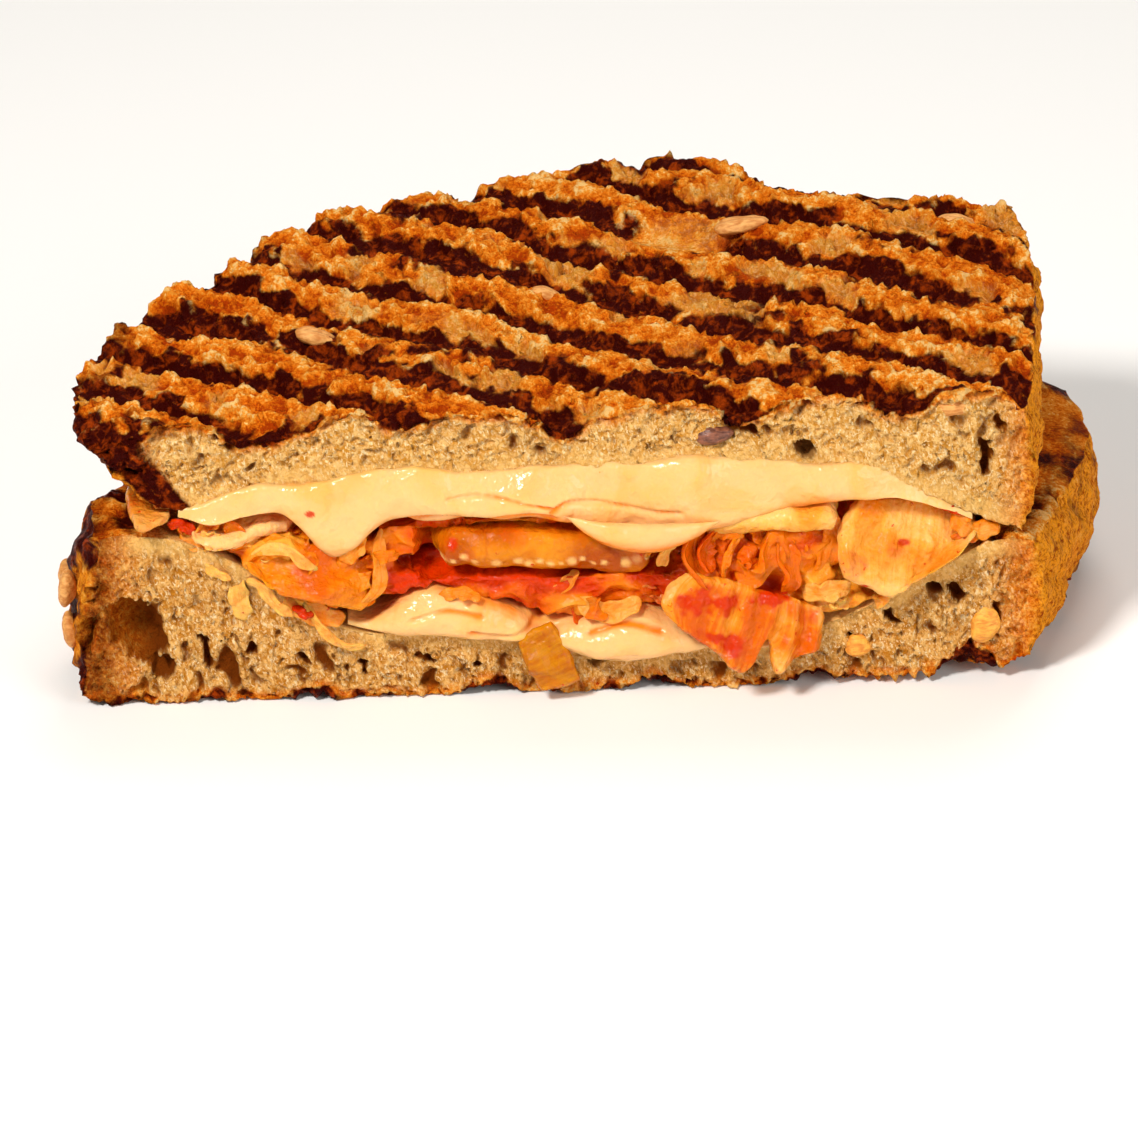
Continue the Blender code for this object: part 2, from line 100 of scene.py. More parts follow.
LOWER_RIGHT = [(56.2, 0.0), (60.2, 8.0), (64.0, 18.0), (67.4, 30.0), (66.4, 41.5)]
ROOF = [(-56.0, 27.2), (-48.0, 26.2), (-40.0, 25.4), (-30.0, 27.4), (-9.0, 28.4), (17.0, 28.9),
        (28.0, 28.8), (37.0, 26.9), (44.0, 24.6), (49.0, 22.2), (53.0, 20.4), (70.0, 20.6)]
FLOOR = [(-60.0, 23.6), (-50.0, 22.4), (-42.0, 21.0), (-36.0, 17.8), (-30.0, 12.8), (-24.0, 9.2),
         (-14.0, 8.6), (-4.0, 7.4), (8.0, 5.6), (18.0, 6.0), (26.0, 6.2), (33.0, 8.4),
         (41.0, 12.2), (46.0, 15.4), (51.0, 18.2), (56.0, 18.9), (72.0, 18.9)]
CHEESE_UNDERSIDE = [(-46.0, 25.2), (-36.0, 24.6), (-30.5, 24.0), (-28.0, 21.6), (-25.6, 18.8),
                    (-23.4, 19.6), (-21.0, 22.2), (-14.0, 23.0), (-3.0, 23.4), (3.0, 22.6),
                    (8.0, 20.4), (14.0, 20.2), (19.0, 21.4), (26.0, 23.2), (36.0, 23.8),
                    (42.0, 23.2), (50.0, 20.6)]
DEPTH = [(-58.0, 12.0), (-46.0, 30.0), (-30.0, 51.0), (0.0, 64.0), (14.0, 68.0), (34.0, 60.0),
         (50.0, 50.0), (66.0, 40.0)]

# Tolerances
TOUCH = 1e-6                        # how near to an edge of the grid counts as on it
WALL_EDGE = 0.001                   # how near to an edge of the slice counts as its crust
SMALLEST = 1e-9                     # shortest length that is divided by

Array = np.ndarray
Colour = tuple[float, float, float]


class Slice(Enum):
    """Which of the two slices of bread."""

    UPPER = "upper"
    LOWER = "lower"


class Kernel(Enum):
    """Kinds of seed and grain in the bread."""

    OAT = "oat"
    DARK = "dark_seed"
    GRAIN = "grain"


# Curves and noise

def ease(value: Array, low: float, high: float) -> Array:
    """Smooth step from 0 at low to 1 at high."""
    t = np.clip((value - low) / (high - low), 0.0, 1.0)
    return t * t * (3.0 - 2.0 * t)


def mound(x: Array, middle: float, width: float) -> Array:
    """Bell curve of height 1: e to the minus square of the distance over the width."""
    return np.exp(-((x - middle) / width) ** 2)


def swollen(h: Array) -> Array:
    """Half circle over the height of a layer: 0 at its two edges and 1 halfway up."""
    return np.sqrt(np.clip(1.0 - (2.0 * h - 1.0) ** 2, 0.0, 1.0))


def profile(points: Sequence, x: Array) -> Array:
    """Height at x of the smooth curve through points, each cubic with the neighbours' slope."""
    px, pz = np.array(points, float).T
    slope = np.gradient(pz, px)
    x = np.clip(x, px[0], px[-1])
    i = np.clip(np.searchsorted(px, x) - 1, 0, len(px) - 2)
    width = px[i + 1] - px[i]
    t = (x - px[i]) / width
    rise = t * t * (3.0 - 2.0 * t)
    start = t * (1.0 - t) ** 2 * width * slope[i]
    end = t * t * (t - 1.0) * width * slope[i + 1]
    return pz[i] + rise * (pz[i + 1] - pz[i]) + start + end


def along(points: Sequence, t: Array) -> Array:
    """Points at the fractions t of the length of a smooth curve in two or three axes."""
    p = np.array(points, float)
    reach = np.concatenate([[0.0], np.cumsum(np.linalg.norm(np.diff(p, axis=0), axis=1))])
    reach /= reach[-1]
    return np.stack([profile(np.stack([reach, p[:, k]], 1), t) for k in range(p.shape[1])], -1)


def ripple(x: Array, y: Array, size: float, seed: int) -> Array:
    """A smooth random field between about -1 and 1, a sum of waves whose length is near size."""
    rng = np.random.default_rng(seed)
    total = np.zeros_like(x)
    for _ in range(6):
        angle = rng.uniform(0.0, 2.0 * math.pi)
        turns = 2.0 * math.pi / (size * rng.uniform(0.7, 1.5))
        total += np.sin(turns * (x * math.cos(angle) + y * math.sin(angle)) + rng.uniform(0, 6.28))
    return total / 3.0


def hashed(cells: Array, seed: int, channel: int = 0) -> Array:
    """A random number from 0 to 1 for each cell: its whole numbers mixed by large factors."""
    salt = seed * 2654435761 + channel * 40503
    mixed = cells[:, 0] * 73856093 ^ cells[:, 1] * 19349663 ^ cells[:, 2] * 83492791 ^ salt
    n = mixed.astype(np.uint32)
    n ^= n >> np.uint32(16)
    n *= np.uint32(0x7FEB352D)
    n ^= n >> np.uint32(15)
    n *= np.uint32(0x846CA68B)
    n ^= n >> np.uint32(16)
    return n / 4294967295.0


def noise(points: Array, size: float, seed: int) -> Array:
    """Smooth noise from -1 to 1 with bumps about size apart: random corner values, eased between.

    Each use has a seed of its own, so that the bumps of one noise don't follow another's.
    """
    turned = points @ np.array(Euler((0.7, 0.4, 0.9 + seed)).to_matrix())
    q = turned / size
    cell = np.floor(q).astype(np.int64)
    f = q - cell
    f = f * f * f * (f * (f * 6.0 - 15.0) + 10.0)
    total = np.zeros(len(points))
    for corner in itertools.product((0, 1), repeat=3):
        weight = np.prod(np.where(corner, f, 1.0 - f), axis=1)
        total += weight * hashed(cell + np.array(corner), seed)
    return total * 2.0 - 1.0


def ridges(points: Array, size: float, seed: int) -> Array:
    """Sharp crests from 0 to 1: one minus the size of the noise."""
    return 1.0 - np.abs(noise(points, size, seed)) * 1.6


def wandered(points: Array, reach: float, size: float, seed: int) -> Array:
    """points moved by noise of their own, so that what is drawn on them loses its regular shape."""
    return points + reach * np.stack([noise(points, size, seed + k) for k in range(3)], 1)


def bubbles(points: Array, size: float, seed: int, share: float) -> Array:
    """Depth of round holes: for random balls in cells of size, the height of the ball at the point."""
    q = points / size
    cell = np.floor(q).astype(np.int64)
    depth = np.zeros(len(points))
    for corner in itertools.product((-1, 0, 1), repeat=3):
        near = cell + np.array(corner)
        middle = near + np.stack([hashed(near, seed, k) for k in range(3)], 1)
        radius = 0.24 + 0.32 * hashed(near, seed, 3)
        height = radius ** 2 - ((q - middle) ** 2).sum(1)
        present = hashed(near, seed, 4) < share
        depth = np.maximum(depth, np.where(present, np.sqrt(np.maximum(height, 0.0)), 0.0))
    return depth * size


# The CAD part's own surfaces

def rib_mark(x: Array, y: Array, shift: float, seed: int) -> Array:
    """How deep the ribs of the grill press, 0 on a land and 1 in the middle of a mark."""
    across = x * math.cos(RIB_ANGLE) + y * math.sin(RIB_ANGLE)
    across = across + RIB_WANDER * ripple(x, y, RIB_WANDER_LENGTH, seed)
    wave = 0.5 + 0.5 * np.cos(2.0 * math.pi * (across - shift) / RIB_PITCH)
    return wave ** RIB_SHARPNESS * (0.8 + 0.3 * ripple(x, y, RIB_FADE_LENGTH, seed + 1))


def towards_rim(x: Array, y: Array) -> Array:
    """0 over the filling and 1 at the crust that closes the back of the sandwich."""
    return ease(y / profile(DEPTH, x), RIM_STARTS, RIM_ENDS)


def roof(x: Array, y: Array) -> Array:
    """Underside of the upper slice."""
    back = towards_rim(x, y)
    return (1.0 - back) * profile(ROOF, x) + back * RIM_ROOF


def floor(x: Array, y: Array) -> Array:
    """Upper side of the lower slice."""
    back = towards_rim(x, y)
    return (1.0 - back) * profile(FLOOR, x) + back * RIM_FLOOR


def cheese_underside(x: Array, y: Array) -> Array:
    """Underside of the upper cheese, which thins to a sheet behind the cut face."""
    behind = ease(y, 2.0, 24.0)
    ceiling, ground = roof(x, y), floor(x, y)
    low = (1.0 - behind) * profile(CHEESE_UNDERSIDE, x) + behind * (ceiling - SHEET)
    lowest = ground + (0.45 + 0.21 * behind) * (ceiling - ground)
    return np.minimum(np.maximum(low, lowest), ceiling - THINNEST_SHEET)


def lower_cheese_top(x: Array, y: Array) -> Array:
    """Top of the lower cheese: two swollen lobes at the cut face and a thin sheet behind them."""
    lobes = sum(high * mound(x, middle, wide) for middle, high, wide in LOWER_LOBES)
    front = 1.0 - ease(y, 1.0, 14.0)
    ceiling, ground = roof(x, y), floor(x, y)
    return np.minimum(ground + LAYER_GAP + 1.2 + lobes * front, ground + 0.33 * (ceiling - ground))


def plan_point(s: Array, t: Array, left: Sequence, back: Sequence, right: Sequence) -> Array:
    """Coons patch between the straight cut, two side curves and the back curve."""
    front_left, front_right = np.array(left[0], float), np.array(right[0], float)
    s1, t1 = s[:, None], t[:, None]
    cut = front_left + s1 * (front_right - front_left)
    sides = (1 - s1) * along(left, t) + s1 * along(right, t)
    corners = ((1 - s1) * (1 - t1) * front_left + s1 * (1 - t1) * front_right
               + (1 - s1) * t1 * np.array(left[-1]) + s1 * t1 * np.array(right[-1]))
    return (1 - t1) * cut + t1 * along(back, s) + sides - corners


def edge_round(s: Array, t: Array, span: float, back_span: float, width: float, drop: float) -> Array:
    """How far the rim of a slice is rounded down within width of its crust."""
    near = np.minimum(np.minimum(s, 1.0 - s) * span, (1.0 - t) * back_span)
    return drop * (1.0 - np.clip(near / width, 0.0, 1.0)) ** 2


def crust_wall(plan: Array, s: Array, t: Array, h: Array) -> Array:
    """Pushes the crust walls outwards between their edges. The cut face stays flat."""
    swell = CRUST_BULGE * 4.0 * h * (1.0 - h) + 0.5 * ripple(plan[:, 0], plan[:, 1] + 20 * h, 9.0, 5)
    at_right, at_left = s > 1.0 - WALL_EDGE, s < WALL_EDGE
    plan[:, 0] += swell * (at_right * 1.0 - at_left * 1.0) * (t > WALL_EDGE)
    plan[:, 1] += swell * (t > 1.0 - WALL_EDGE)
    return plan


def land_height(x: Array, y: Array) -> Array:
    """Height of the top of the sandwich between its grill marks."""
    swell = (1.3 * ease(x, 14.0, 40.0) - 0.4 * ease(-x, 20.0, 50.0)
             + LAND_SWELL * ripple(x, y, LAND_SWELL_LENGTH, 3))
    return LAND_HEIGHT + swell + BACK_RISE * ease(y, 16.0, 52.0)


def grilled_top(x: Array, y: Array) -> Array:
    """Top of the sandwich with the marks of the grill's ribs."""
    return land_height(x, y) - RIB_DEPTH * rib_mark(x, y, TOP_MARKS, TOP_MARK_SEED)


def filling_plan(s: Array, t: Array) -> tuple[Array, Array]:
    """Where a point of a filling layer lies along and behind the cut."""
    x = FILLING_LEFT + s * FILLING_WIDTH
    return x, FILLING_FRONT + t * (FILLING_SHARE * profile(DEPTH, x) - FILLING_FRONT)


# Meshes

@dataclass
class Surface:
    """A closed surface of four-cornered faces, in cut coordinates, with named values at its points."""

    points: Array
    faces: Array
    unit: Array
    values: dict[str, Array] = field(default_factory=dict)

    def normals(self) -> Array:
        """Outward unit normals: the sum of the cross products of each face's diagonals."""
        a, b, c, d = (self.points[self.faces[:, k]] for k in range(4))
        across = np.cross(c - a, d - b)
        total = np.zeros_like(self.points)
        for corner, axis in itertools.product(range(4), range(3)):
            total[:, axis] += np.bincount(self.faces[:, corner], across[:, axis], len(total))
        return total / np.maximum(np.linalg.norm(total, axis=1, keepdims=True), SMALLEST)

    def pushed(self, amount: Array) -> "Surface":
        """Moves each point along its normal by amount, in millimetres."""
        self.points = self.points + amount[:, None] * self.normals()
        return self

    def value(self, name: str, numbers: Array | float) -> "Surface":
        """Stores a named value for every point."""
        self.values[name] = np.zeros(len(self.points)) + numbers
        return self


def box_surface(counts: Sequence[int], shape: Callable[[Array, Array, Array], Array],
                stations: Sequence[Array] | None = None) -> Surface:
    """The skin of a unit cube cut into a grid, with its points placed by a function.

    Args:
        counts: how many grid lines there are along each of the three directions.
        shape: gives the points in millimetres from the three fractions s, t and h.
        stations: the fractions themselves, where they aren't even.

    Returns:
        The closed surface, with its faces turned outwards.
    """
    lines = stations or [np.linspace(0.0, 1.0, count) for count in counts]
    sizes = [len(line) for line in lines]
    steps = (1, sizes[0], sizes[0] * sizes[1])
    rings = []
    for axis in range(3):
        u, v = (axis + 1) % 3, (axis + 2) % 3
        iu, iv = np.meshgrid(np.arange(sizes[u] - 1), np.arange(sizes[v] - 1), indexing="ij")
        for side in (0, sizes[axis] - 1):
            start = side * steps[axis] + iu * steps[u] + iv * steps[v]
            ring = [start, start + steps[u], start + steps[u] + steps[v], start + steps[v]]
            rings.append(np.stack(ring if side else ring[::-1], -1).reshape(-1, 4))
    ids, index = np.unique(np.concatenate(rings), return_inverse=True)
    unit = np.stack([lines[0][ids % sizes[0]], lines[1][ids // steps[1] % sizes[1]],
                     lines[2][ids // steps[2]]], 1)
    return Surface(shape(*unit.T), index.reshape(-1, 4), unit)


def rounded_cube(s: Array, t: Array, h: Array, roundness: float) -> Array:
    """Points of the cube from -1 to 1 drawn towards the unit ball by roundness."""
    x, y, z = (2.0 * v - 1.0 for v in (s, t, h))
    ball = np.stack([x * np.sqrt(1 - y * y / 2 - z * z / 2 + y * y * z * z / 3),
                     y * np.sqrt(1 - z * z / 2 - x * x / 2 + z * z * x * x / 3),
                     z * np.sqrt(1 - x * x / 2 - y * y / 2 + x * x * y * y / 3)], 1)
    return (1.0 - roundness) * np.stack([x, y, z], 1) + roundness * ball


def merged(parts: Sequence[Surface]) -> Surface:
    """Several surfaces as one, each with its own values."""
    starts = np.cumsum([0] + [len(part.points) for part in parts[:-1]])
    names = sorted({name for part in parts for name in part.values})
    whole = Surface(np.concatenate([part.points for part in parts]),
                    np.concatenate([part.faces + start for part, start in zip(parts, starts)]),
                    np.concatenate([part.unit for part in parts]))
    for name in names:
        whole.value(name, np.concatenate([part.values.get(name, np.zeros(len(part.points)))
                                          for part in parts]))
    return whole


def make_piece(name: str, surface: Surface, material: bpy.types.Material, nodes: Sequence[str],
               most: int = 0) -> bpy.types.Object:
    """Puts a surface into a mesh object that stands for CAD nodes.

    Args:
        name: the piece's name.
        surface: its closed surface, in cut coordinates.
        material: its finish.
        nodes: the CAD nodes it replaces.
        most: how many triangles it may have, or 0 for as many as it comes with.

    Returns:
        The object, riding on the one body.
    """
    mesh = bpy.data.meshes.new(name)
    mesh.vertices.add(len(surface.points))
    mesh.vertices.foreach_set("co", ((surface.points + CUT_MIDDLE) * MM).ravel())
    mesh.loops.add(surface.faces.size)
    mesh.loops.foreach_set("vertex_index", surface.faces.ravel().astype(np.int32))
    mesh.polygons.add(len(surface.faces))
    mesh.polygons.foreach_set("loop_start", np.arange(0, surface.faces.size, 4, dtype=np.int32))
    mesh.update(calc_edges=True)
    mesh.validate()
    mesh.shade_smooth()
    for label, numbers in surface.values.items():
        stored = mesh.attributes.new(label, "FLOAT", "POINT")
        stored.data.foreach_set("value", numbers.astype(np.float32))
    piece = bpy.data.objects.new(name, mesh)
    bpy.context.scene.collection.objects.link(piece)
    triangles = 2 * len(surface.faces)
    if most and triangles > most:
        fewer = piece.modifiers.new("fewer", "DECIMATE")
        fewer.ratio = most / triangles
        graph = bpy.context.evaluated_depsgraph_get()
        thinned = bpy.data.meshes.new_from_object(piece.evaluated_get(graph))
        piece.modifiers.clear()
        piece.data = thinned
    piece.data.name = name
    piece.data.materials.clear()
    piece.data.materials.append(material)
    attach(piece, "root")
    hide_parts(*nodes)
    log.info("%s: %d faces", name, len(piece.data.polygons))
    return piece


# Materials

class Wire:
    """A number coming out of a shader node. Arithmetic on it adds Math nodes."""

    def __init__(self, shade: "Shade", socket: bpy.types.NodeSocket) -> None:
        """Keeps the socket and the material it belongs to."""
        self.shade = shade
        self.socket = socket

    def _math(self, operation: str, first: object, second: object) -> "Wire":
        """One Math node on two numbers or sockets."""
        return self.shade.node("ShaderNodeMath", {"operation": operation}, {0: first, 1: second})

    def __add__(self, other: object) -> "Wire":
        """Sum."""
        return self._math("ADD", self, other)

    def __radd__(self, other: object) -> "Wire":
        """Sum, the other way round."""
        return self._math("ADD", other, self)

    def __sub__(self, other: object) -> "Wire":
        """Difference."""
        return self._math("SUBTRACT", self, other)

    def __rsub__(self, other: object) -> "Wire":
        """Difference, the other way round."""
        return self._math("SUBTRACT", other, self)

    def __mul__(self, other: object) -> "Wire":
        """Product."""
        return self._math("MULTIPLY", self, other)

    def __rmul__(self, other: object) -> "Wire":
        """Product, the other way round."""
        return self._math("MULTIPLY", other, self)

    def __pow__(self, other: object) -> "Wire":
        """Power."""
        return self._math("POWER", self, other)

    def step(self, low: float, high: float) -> "Wire":
        """Smooth step from 0 at low to 1 at high."""
        return self.shade.node("ShaderNodeMapRange", {"interpolation_type": "SMOOTHSTEP"},
                               {"Value": self, "From Min": low, "From Max": high})


class Shade:
    """Builds one material from nodes."""

    def __init__(self, name: str) -> None:
        """Starts an empty material."""
        self.material = bpy.data.materials.new(name)
        self.material.use_nodes = True
        self.tree = self.material.node_tree
        self.tree.nodes.clear()

    def node(self, kind: str, settings: dict | None = None, sockets: dict | None = None,
             out: int | str = 0) -> Wire:
        """Adds a node.

        Args:
            kind: the node's type.
            settings: its properties, set first.
            sockets: values or wires for its inputs, by name or number.
            out: which output is handed back.

        Returns:
            The chosen output.
        """
        made = self.tree.nodes.new(kind)
        for key, value in (settings or {}).items():
            setattr(made, key, value)
        for key, value in (sockets or {}).items():
            if isinstance(value, Wire):
                self.tree.links.new(value.socket, made.inputs[key])
            else:
                made.inputs[key].default_value = value
        return Wire(self, made.outputs[out])

    def place(self, stretch: Sequence[float] = (1.0, 1.0, 1.0), turn: float = 0.0) -> Wire:
        """Object coordinates in millimetres, turned about +Y and stretched."""
        raw = self.node("ShaderNodeTexCoord", out="Object")
        scale = [1.0 / (MM * k) for k in stretch]
        turned = self.node("ShaderNodeMapping", None, {0: raw, "Rotation": (0.0, turn, 0.0)})
        return self.node("ShaderNodeVectorMath", {"operation": "MULTIPLY"}, {0: turned, 1: scale})

    def noise(self, size: float, detail: float = 3.0, rough: float = 0.55, warp: float = 0.0,
              place: Wire | None = None) -> Wire:
        """Noise from 0 to 1 with bumps about size millimetres apart."""
        return self.node("ShaderNodeTexNoise", {"normalize": True},
                         {"Vector": place or self.place(), "Scale": 1.0 / size, "Detail": detail,
                          "Roughness": rough, "Distortion": warp}, "Fac")

    def cells(self, size: float, feature: str = "F1", place: Wire | None = None) -> Wire:
        """Distance to the middle of random cells of size millimetres."""
        return self.node("ShaderNodeTexVoronoi", {"feature": feature},
                         {"Vector": place or self.place(), "Scale": 1.0 / size}, "Distance")

    def read(self, name: str) -> Wire:
        """A value stored at the mesh's points."""
        return self.node("ShaderNodeAttribute", {"attribute_name": name}, None, "Fac")

    def mix(self, factor: Wire | float, first: Wire | Colour, second: Wire | Colour) -> Wire:
        """Blend of two colours."""
        sockets = {0: factor}
        for key, value in ((6, first), (7, second)):
            sockets[key] = value if isinstance(value, Wire) else (*value, 1.0)
        return self.node("ShaderNodeMix", {"data_type": "RGBA", "clamp_factor": True}, sockets, 2)

    def ramp(self, value: Wire, stops: Sequence[tuple[float, Colour]]) -> Wire:
        """Colours along a value, from stops of (place, colour)."""
        made = self.tree.nodes.new("ShaderNodeValToRGB")
        band = made.color_ramp
        for number, (place, colour) in enumerate(stops):
            stop = band.elements[number] if number < 2 else band.elements.new(place)
            stop.position = place
            stop.color = (*colour, 1.0)
        self.tree.links.new(value.socket, made.inputs[0])
        return Wire(self, made.outputs[0])

    def bump(self, height: Wire, depth: float, under: Wire | None = None) -> Wire:
        """Normals from a height of 0 to 1 that stands for depth millimetres."""
        sockets = {"Strength": 1.0, "Distance": depth * MM, "Height": height}
        if under is not None:
            sockets["Normal"] = under
        return self.node("ShaderNodeBump", None, sockets, "Normal")

    def finish(self, colour: Wire | Colour, roughness: Wire | float, normal: Wire | None = None,
               **constants: object) -> bpy.types.Material:
        """Joins the colour, roughness and normal to the surface.

        Args:
            colour: base colour.
            roughness: roughness.
            normal: normals, if they are bumped.
            constants: other inputs of the surface, with underscores for spaces.

        Returns:
            The finished material.
        """
        base = colour if isinstance(colour, Wire) else (*colour, 1.0)
        sockets = {"Base Color": base, "Roughness": roughness}
        if normal is not None:
            sockets["Normal"] = normal
        sockets |= {key.replace("_", " "): value for key, value in constants.items()}
        surface = self.node("ShaderNodeBsdfPrincipled", None, sockets)
        self.node_out(surface)
        return self.material

    def node_out(self, surface: Wire) -> None:
        """Links the surface to the material's output."""
        output = self.tree.nodes.new("ShaderNodeOutputMaterial")
        self.tree.links.new(surface.socket, output.inputs["Surface"])


class BreadNoises:
    """The noises that the bread's colours share, from the finest to the broadest."""

    def __init__(self, shade: Shade) -> None:
        """Makes them in one material. Specks, fibres and holes lean with the crumb."""
        leaning = shade.place((1.0, 1.0, 2.0), 0.3)
        self.speck = shade.noise(0.32, 2.0, 0.6, 0.4, leaning)
        self.fine = shade.noise(0.45, 4.0, 0.7)
        self.fibre = shade.noise(0.6, 3.0, 0.65, 0.9, leaning)
        self.grain = shade.noise(1.1, 4.0, 0.72, 0.5)
        self.broad = shade.noise(3.5, 3.0, 0.6, 0.6)
        sparse = shade.noise(4.5, 2.0, 0.5).step(0.35, 0.62)
        self.holes = shade.noise(1.0, 2.0, 0.5, 0.2, leaning).step(0.36, 0.28) * sparse


@dataclass(frozen=True)
class BreadFinish:
    """Open crumb, toasted lands, charred marks and brown crust, driven by the mesh's own values, with
    painted shade in the pits and hollows and painted light on the crests.
    """

    pale: Colour = (0.90, 0.55, 0.19)
    crumb: Colour = (0.63, 0.26, 0.028)
    # painted shade: the dark colour laid into the crumb's pits and small holes
    pore: Colour = (0.17, 0.035, 0.002)
    fleck: Colour = (0.96, 0.74, 0.40)
    straw: Colour = (0.88, 0.345, 0.037)
    gold: Colour = (0.74, 0.165, 0.004)
    brown: Colour = (0.40, 0.042, 0.0008)
    ember: Colour = (0.34, 0.040, 0.001)
    char: Colour = (0.040, 0.0015, 0.0003)
    crust: Colour = (0.92, 0.33, 0.012)
    wet: Colour = (0.88, 0.52, 0.15)

    def crumb_colour(self, shade: Shade, of: BreadNoises, damp: Wire) -> Wire:
        """Strands and pale specks, with painted shade in the pits and the small holes, then wet."""
        pore = shade.read("pore")
        strands = of.fine * 0.35 + of.fibre * 0.5 + of.grain * 0.35
        colour = shade.mix(strands.step(0.51, 0.69), self.crumb, self.pale)
        colour = shade.mix(of.broad.step(0.5, 0.75) * 0.35, colour, self.crumb)
        colour = shade.mix(of.speck.step(0.54, 0.66) * 0.9, colour, self.fleck)
        # Painted shade in the pits, darker the deeper the pit.
        colour = shade.mix((pore + 0.5 * of.fine - 0.25).step(0.2, 0.9), colour, self.pore)
        # Painted shade in the small holes, which exist only in colour and bump.
        colour = shade.mix(of.holes * (0.85 - 0.7 * damp), colour, self.pore)
        return shade.mix(damp * (0.5 + 0.5 * of.broad), colour, self.wet)

    def toast_colour(self, shade: Shade, of: BreadNoises, rise: Wire) -> Wire:
        """Brown to straw by noise and by the relief's height, which paints shade into the hollows and
        light onto the crests, with crumb where the land is torn open.
        """
        # Painted shade and light: the relief's height darkens the hollows and lightens the crests.
        tone = of.fine * 0.55 + of.grain * 0.55 + of.speck * 0.25 + rise * 0.35
        colour = shade.ramp(tone, ((0.68, self.brown), (0.83, self.gold), (0.96, self.straw),
                                   (1.0, self.pale)))
        # The small holes in torn crumb are painted darker gold as shade.
        torn = shade.mix(of.holes * 0.8, self.pale, self.gold)
        torn = shade.mix(of.fibre.step(0.45, 0.7), self.crumb, torn)
        return shade.mix(shade.read("torn") * (0.1 + 1.1 * of.grain), colour, torn)

    def crust_colour(self, shade: Shade, of: BreadNoises) -> Wire:
        """Golden crust, dark in its fine hollows and specked with straw."""
        colour = shade.mix((of.fine * 0.6 + of.grain * 0.5).step(0.42, 0.62), self.ember, self.crust)
        return shade.mix(of.speck.step(0.5, 0.66) * 0.7, colour, self.straw)

    def seared_colour(self, shade: Shade, of: BreadNoises) -> Wire:
        """Char broken by embers of red-brown and a little gold."""
        ember = shade.noise(1.7, 2.0, 0.7, 0.5)
        colour = shade.mix((ember * 0.8 + of.fine * 0.3).step(0.52, 0.74), self.char, self.ember)
        return shade.mix(of.grain.step(0.62, 0.74) * 0.4, colour, self.gold)

    def material(self, name: str) -> bpy.types.Material:
        """Lays the colours over one another: crumb, toast, crust and char."""
        shade = Shade(name)
        of = BreadNoises(shade)
        damp, rise = shade.read("wet"), shade.read("rise")
        # The relief's height deepens the char in the hollows and eases it on the crests: painted shade
        # and painted highlight.
        burnt = shade.read("char") * (1.35 - 0.85 * of.grain) - 0.35 * (rise - 0.5)
        burnt = burnt.step(0.12, 0.62)
        colour = self.crumb_colour(shade, of, damp)
        colour = shade.mix(shade.read("toast"), colour, self.toast_colour(shade, of, rise))
        colour = shade.mix(shade.read("crust"), colour, self.crust_colour(shade, of))
        colour = shade.mix(burnt, colour, self.seared_colour(shade, of))
        normal = shade.bump(of.fine * 0.8 + of.fibre * 0.5 - of.holes * 0.9, 0.5)
        normal = shade.bump(shade.noise(0.22, 2.0, 0.75), 0.16, normal)
        roughness = 0.88 - 0.4 * damp - 0.5 * burnt
        return shade.finish(colour, roughness, normal, Specular_IOR_Level=0.03)


@dataclass(frozen=True)
class CheeseFinish:
    """Melted pale cheese: creamy, faintly mottled, orange where the kimchi has run into it."""

    cream: Colour = (0.86, 0.505, 0.19)
    warm: Colour = (0.87, 0.42, 0.085)
    stain: Colour = (0.84, 0.22, 0.006)
    chilli: Colour = (0.60, 0.05, 0.002)

    def material(self, name: str) -> bpy.types.Material:
        """Mixes cream and warm by broad noise, and the stain by the mesh's own value."""
        shade = Shade(name)
        broad = shade.noise(7.0, 3.0, 0.5, 0.8)
        veins = shade.noise(3.0, 4.0, 0.6, 1.4, shade.place((2.6, 1.0, 1.0)))
        colour = shade.mix(broad.step(0.42, 0.72) * 0.75, self.cream, self.warm)
        stain = (shade.read("stain") * (0.55 + 0.9 * veins)).step(0.2, 0.95)
        colour = shade.mix(stain, colour, self.stain)
        colour = shade.mix(shade.read("chilli"), colour, self.chilli)
        speck = shade.cells(2.2).step(0.07, 0.03) * broad.step(0.5, 0.6)
        colour = shade.mix(speck * 0.6, colour, self.stain)
        soft = shade.noise(1.6, 3.0, 0.5)
        normal = shade.bump(soft, 0.35, shade.bump(broad, 0.9))
        return shade.finish(colour, 0.10 + 0.14 * soft, normal, Subsurface_Weight=0.35,
                            Subsurface_Radius=(1.0, 0.55, 0.2), Subsurface_Scale=0.0022,
                            Specular_IOR_Level=0.35)


